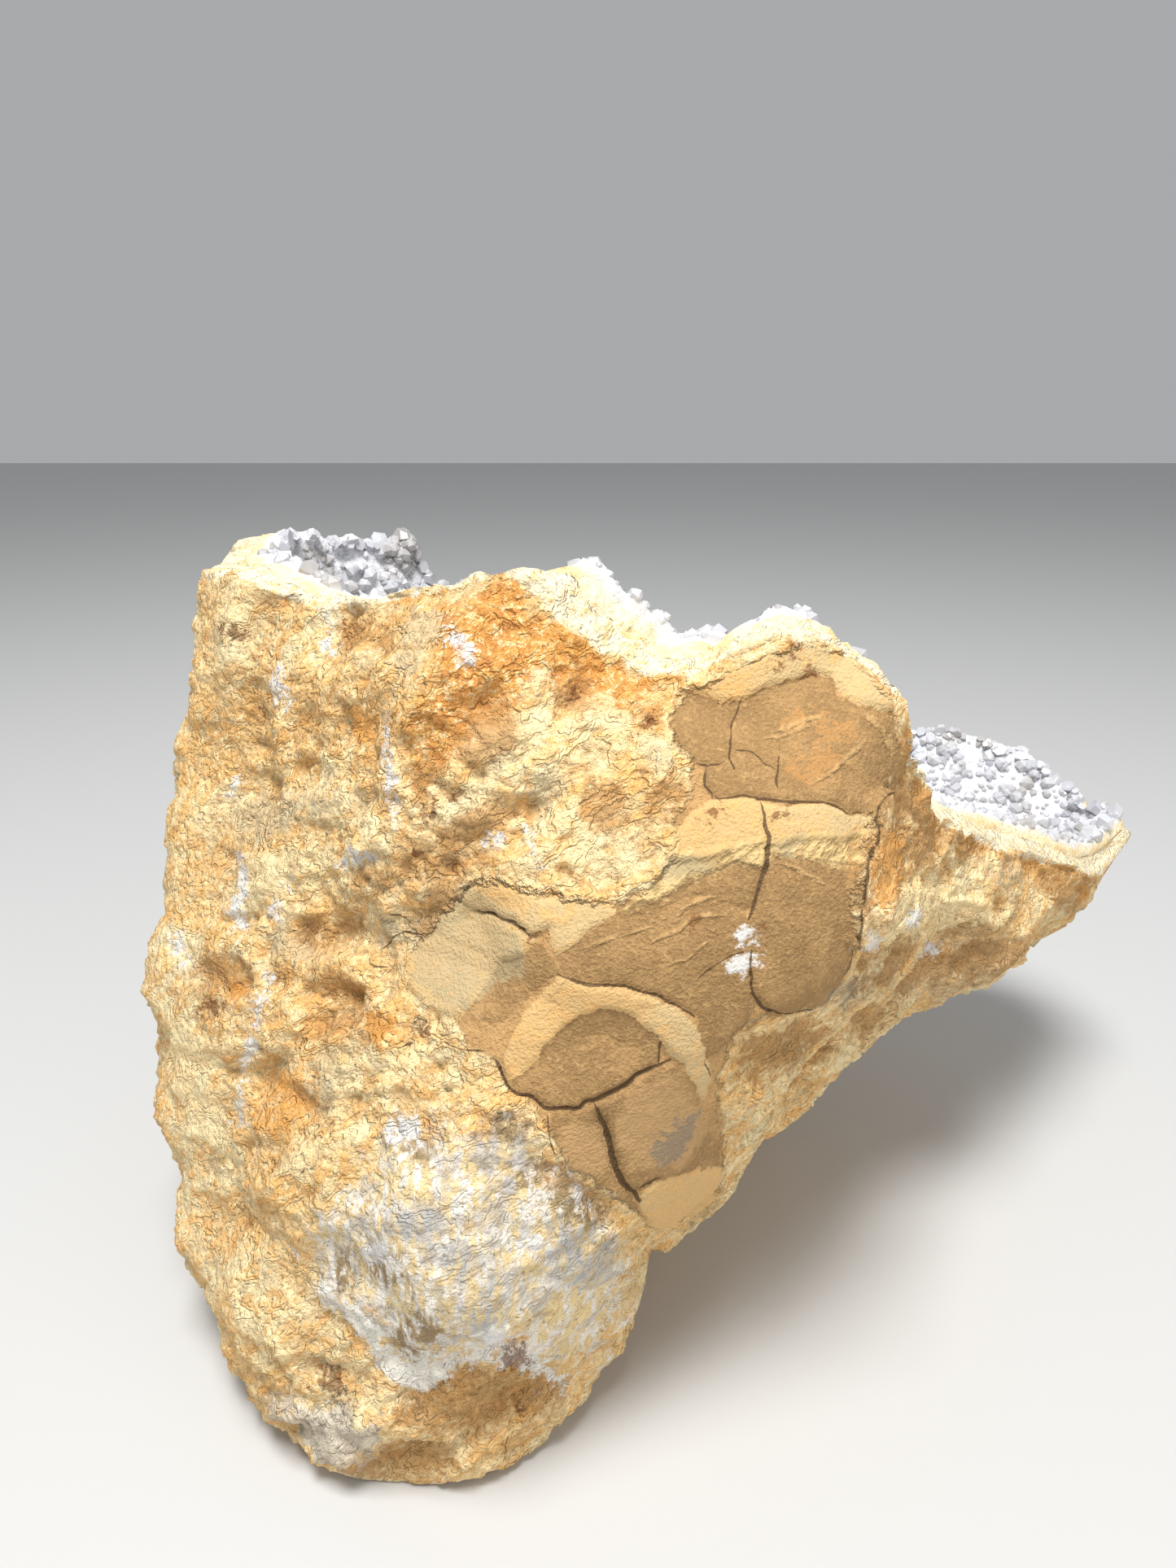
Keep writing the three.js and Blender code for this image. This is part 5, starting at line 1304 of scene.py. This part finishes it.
clay_colour = p.mix(p.times(p.step(0.46, 0.38, grain), dark_grains), clay_colour, (0.50, 0.38, 0.24))
clay_colour = p.mix(p.times(p.step(0.56, 0.66, grain), 0.2), clay_colour, CLAY_PALE)
clay_colour = p.mix(p.times(share_of("warm", -0.8, 1.2, 5, 8, 10), 0.6), clay_colour,
                    (0.74, 0.54, 0.32))
clay_colour = p.mix(p.times(share_of("grey", -0.5, 1.0, 5, 4, 3), 0.55), clay_colour,
                    (0.70, 0.64, 0.50))
clay_colour = p.mix(p.times(share_of("pale", -2.0, 1.0, 5, 4, 3), brown_share, 0.7), clay_colour,
                    (0.76, 0.61, 0.42))
ridge_share = share_of("clay_ridge", -0.2, 0.25, 0, 1.4, 1.4)
clay_colour = p.mix(p.times(ridge_share, 0.5), clay_colour, CLAY_PALE)
clay_share = share_of("clay", -0.5, 0.5, 0, 3.0)
colour = p.mix(clay_share, colour, clay_colour)
print("with the clay:", len(p.nodes))

# %% [markdown]
# Last come the single marks, the cream of the broken edge and the cracks, among them the painted
# shadow line along the step's edge. A crack is dark where the distance to its side is less than the
# width left there.

# %% Marks, broken edge and cracks
for name, mark, strength, low, high, wobbles in (
        ("white", WHITE, 0.85, -0.5, 0.6, (3, 4, 4)), ("rust", RUST, 0.75, -0.4, 0.6, (2, 3, 6)),
        ("grey_stain", GREY, 0.6, -0.4, 0.5, (2, 3, 5)),
        ("blue_stain", GREY, 0.5, -0.5, 1.0, (3, 3, 5))):
    colour = p.mix(p.times(share_of(name, low, high, *wobbles), strength), colour, mark)

cream_share = p.step(-0.3, 0.5, p.plus(p.mask("past_rim"), p.times(p.plus(fine, -0.5), 3.5)))
cream = p.mix(p.times(p.step(0.52, 0.60, small_flake), 0.8), CREAM, (0.92, 0.78, 0.52))
cream = p.mix(p.times(p.step(0.46, 0.40, dust), 0.5), cream, (0.97, 0.94, 0.88))
colour = p.mix(cream_share, colour, cream)

crack_and_shadow_share = 0.0
for k in range(len(CRACKS_AND_STEP_SHADOW)):
    side = p.plus(p.math("ABSOLUTE", p.mask(f"crack_{k}_side")), p.times(p.plus(fine, -0.5), 0.4),
                  p.times(p.plus(dust, -0.5), 0.15))
    inside = p.math("SUBTRACT", p.mask(f"crack_{k}_width"), side)
    share = p.times(p.step(-0.10, 0.03, inside), p.step(-0.02, 0.04, p.mask(f"crack_{k}_width")))
    crack_and_shadow_share = p.math("MAXIMUM", share, crack_and_shadow_share)
colour = p.mix(p.times(crack_and_shadow_share, 0.85), colour, CRACK_AND_SHADOW_COLOUR)
p.put(colour, p.shader.inputs["Base Color"])
print("with marks and cracks:", len(p.nodes))

# %% [markdown]
# The finest relief is too small for the mesh, so it is a bump: little terraces on the flakes, crumbs
# between them, a sandy grain on the clay and scratches down the scarp. Heights are in millimetres.

# %% The rock's finish and fine relief
p.shader.inputs["Roughness"].default_value = 0.93
p.shader.inputs["Specular IOR Level"].default_value = 0.25
off_clay = p.math("SUBTRACT", 1.0, p.times(clay_share, 0.9))
off_spar = p.math("SUBTRACT", 1.0, p.times(p.step(-2.0, 2.5, p.mask("spar")), 0.35))
rough_share = p.times(off_clay, off_spar)
terraces = p.plus(
    p.times(p.plus(*(p.step(edge, edge + 0.02, flake) for edge in (0.42, 0.48, 0.54, 0.60))), 0.25),
    p.times(p.plus(*(p.step(edge, edge + 0.04, small_flake) for edge in (0.43, 0.52, 0.61))), 0.09))
scratched = p.times(p.step(-0.5, 0.5, p.mask("scarp")), scratch, 0.7)
layer_edges = p.times(p.step(-0.2, 0.25, p.mask("clay_ridge")), clay_share, 0.2)
p.bump(p.plus(
    p.times(p.plus(terraces, p.times(crumb, 0.38), p.times(grain, 0.18), p.times(fine, 0.35),
                   p.times(dust, 0.32)), rough_share),
    p.times(p.plus(p.times(grain, 0.2), p.times(dust, 0.15)), clay_share), scratched, layer_edges))
rind.data.materials.append(p.material)
print("rock nodes:", len(p.nodes))

# %% [markdown]
# Quartz is clear, but grown-together tips look white where they are flawed. Clear glass alone would
# show the cream layer through it, and plain white would look like plaster. So the crystals let about
# a third of the light through and scatter the rest. The bed turns from cream to quartz inward.

# %% Crust and crystals
p = Paint("cream_layer")
speckle, clump = p.noise(0.8, 3, 0.7), p.noise(3.5, 4, 0.6)
colour = p.mix(p.step(0.42, 0.62, clump), CREAM, (0.91, 0.80, 0.58))
colour = p.mix(p.times(p.step(0.56, 0.66, speckle), p.step(0.85, 0.5, p.mask("inward")), 0.7), colour,
               (0.86, 0.62, 0.32))
colour = p.mix(p.step(0.62, 0.95, p.plus(p.mask("inward"), p.times(p.plus(clump, -0.5), 0.5))), colour,
               (0.89, 0.89, 0.90))
p.put(colour, p.shader.inputs["Base Color"])
p.shader.inputs["Roughness"].default_value = 0.6
p.bump(p.plus(p.times(speckle, 0.5), p.times(clump, 0.6)))
crust.data.materials.append(p.material)

p = Paint("quartz")
colour = p.mix(p.step(0.0, 0.6, p.mask("shade")), (0.83, 0.83, 0.85), (0.91, 0.91, 0.92))
colour = p.mix(p.times(p.step(0.50, 0.60, p.noise(9, 3)), 0.8), colour, (0.78, 0.76, 0.74))
p.put(colour, p.shader.inputs["Base Color"])
p.shader.inputs["Roughness"].default_value = 0.22
p.shader.inputs["IOR"].default_value = 1.55
p.shader.inputs["Transmission Weight"].default_value = 0.3
crystals.data.materials.append(p.material)
print("materials:", [m.name for m in bpy.data.materials])

# %% [markdown]
# ## Floor, light and camera
#
# A pale floor, one broad soft light above and to the left in front, and a weaker one opposite keep
# the shadows open. The camera stands where the layout sheet's eye is and leans as much.

# %% Stage
bpy.ops.mesh.primitive_plane_add(size=4)
floor = bpy.context.object
floor.name = "floor"
paper = bpy.data.materials.new("paper")
paper.use_nodes = True
paper.node_tree.nodes["Principled BSDF"].inputs["Base Color"].default_value = (0.56, 0.56, 0.55, 1)
paper.node_tree.nodes["Principled BSDF"].inputs["Roughness"].default_value = 0.9
floor.data.materials.append(paper)


def soft_light(name, place_m, size, power):
    """A square area light that shines at the stone's middle."""
    data = bpy.data.lights.new(name, "AREA")
    data.size, data.energy = size, power
    light = bpy.data.objects.new(name, data)
    bpy.context.scene.collection.objects.link(light)
    light.location = place_m
    aim = Vector((-0.01, 0, 0.05)) - light.location
    light.rotation_euler = aim.to_track_quat("-Z", "Y").to_euler()


soft_light("key", (-0.06, -0.26, 0.80), 0.26, 8.5)
soft_light("fill", (0.5, -0.6, 0.30), 0.6, 1.6)
world = bpy.data.worlds.new("studio")
bpy.context.scene.world = world
world.use_nodes = True
world.node_tree.nodes["Background"].inputs["Color"].default_value = (0.85, 0.87, 0.9, 1)
world.node_tree.nodes["Background"].inputs["Strength"].default_value = 0.46

data = bpy.data.cameras.new("camera")
data.sensor_width = 36
data.lens = SHEET_DISTANCE * 36 / 192.7
data.clip_start = 0.01
camera = bpy.data.objects.new("camera", data)
bpy.context.scene.collection.objects.link(camera)
camera.location = (EYE + SHIFT) * MM
camera.rotation_euler = (np.pi / 2 - LEAN, 0, 0)
bpy.context.scene.camera = camera
bpy.context.scene.view_settings.view_transform = "Standard"
print("camera at", list(camera.location), "lens", data.lens)

# %% [markdown]
# ## Hand over to the frame
#
# Every piece rides on the one body and stands for its CAD solid, which is hidden.

# %% Tie to the frame
for piece, node, slot in ((rind, "rind", "rock"), (crust, "crystal_crust", "crystal"),
                          (crystals, "crystal_crust", "crystal")):
    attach(piece, "root")
    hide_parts(node)
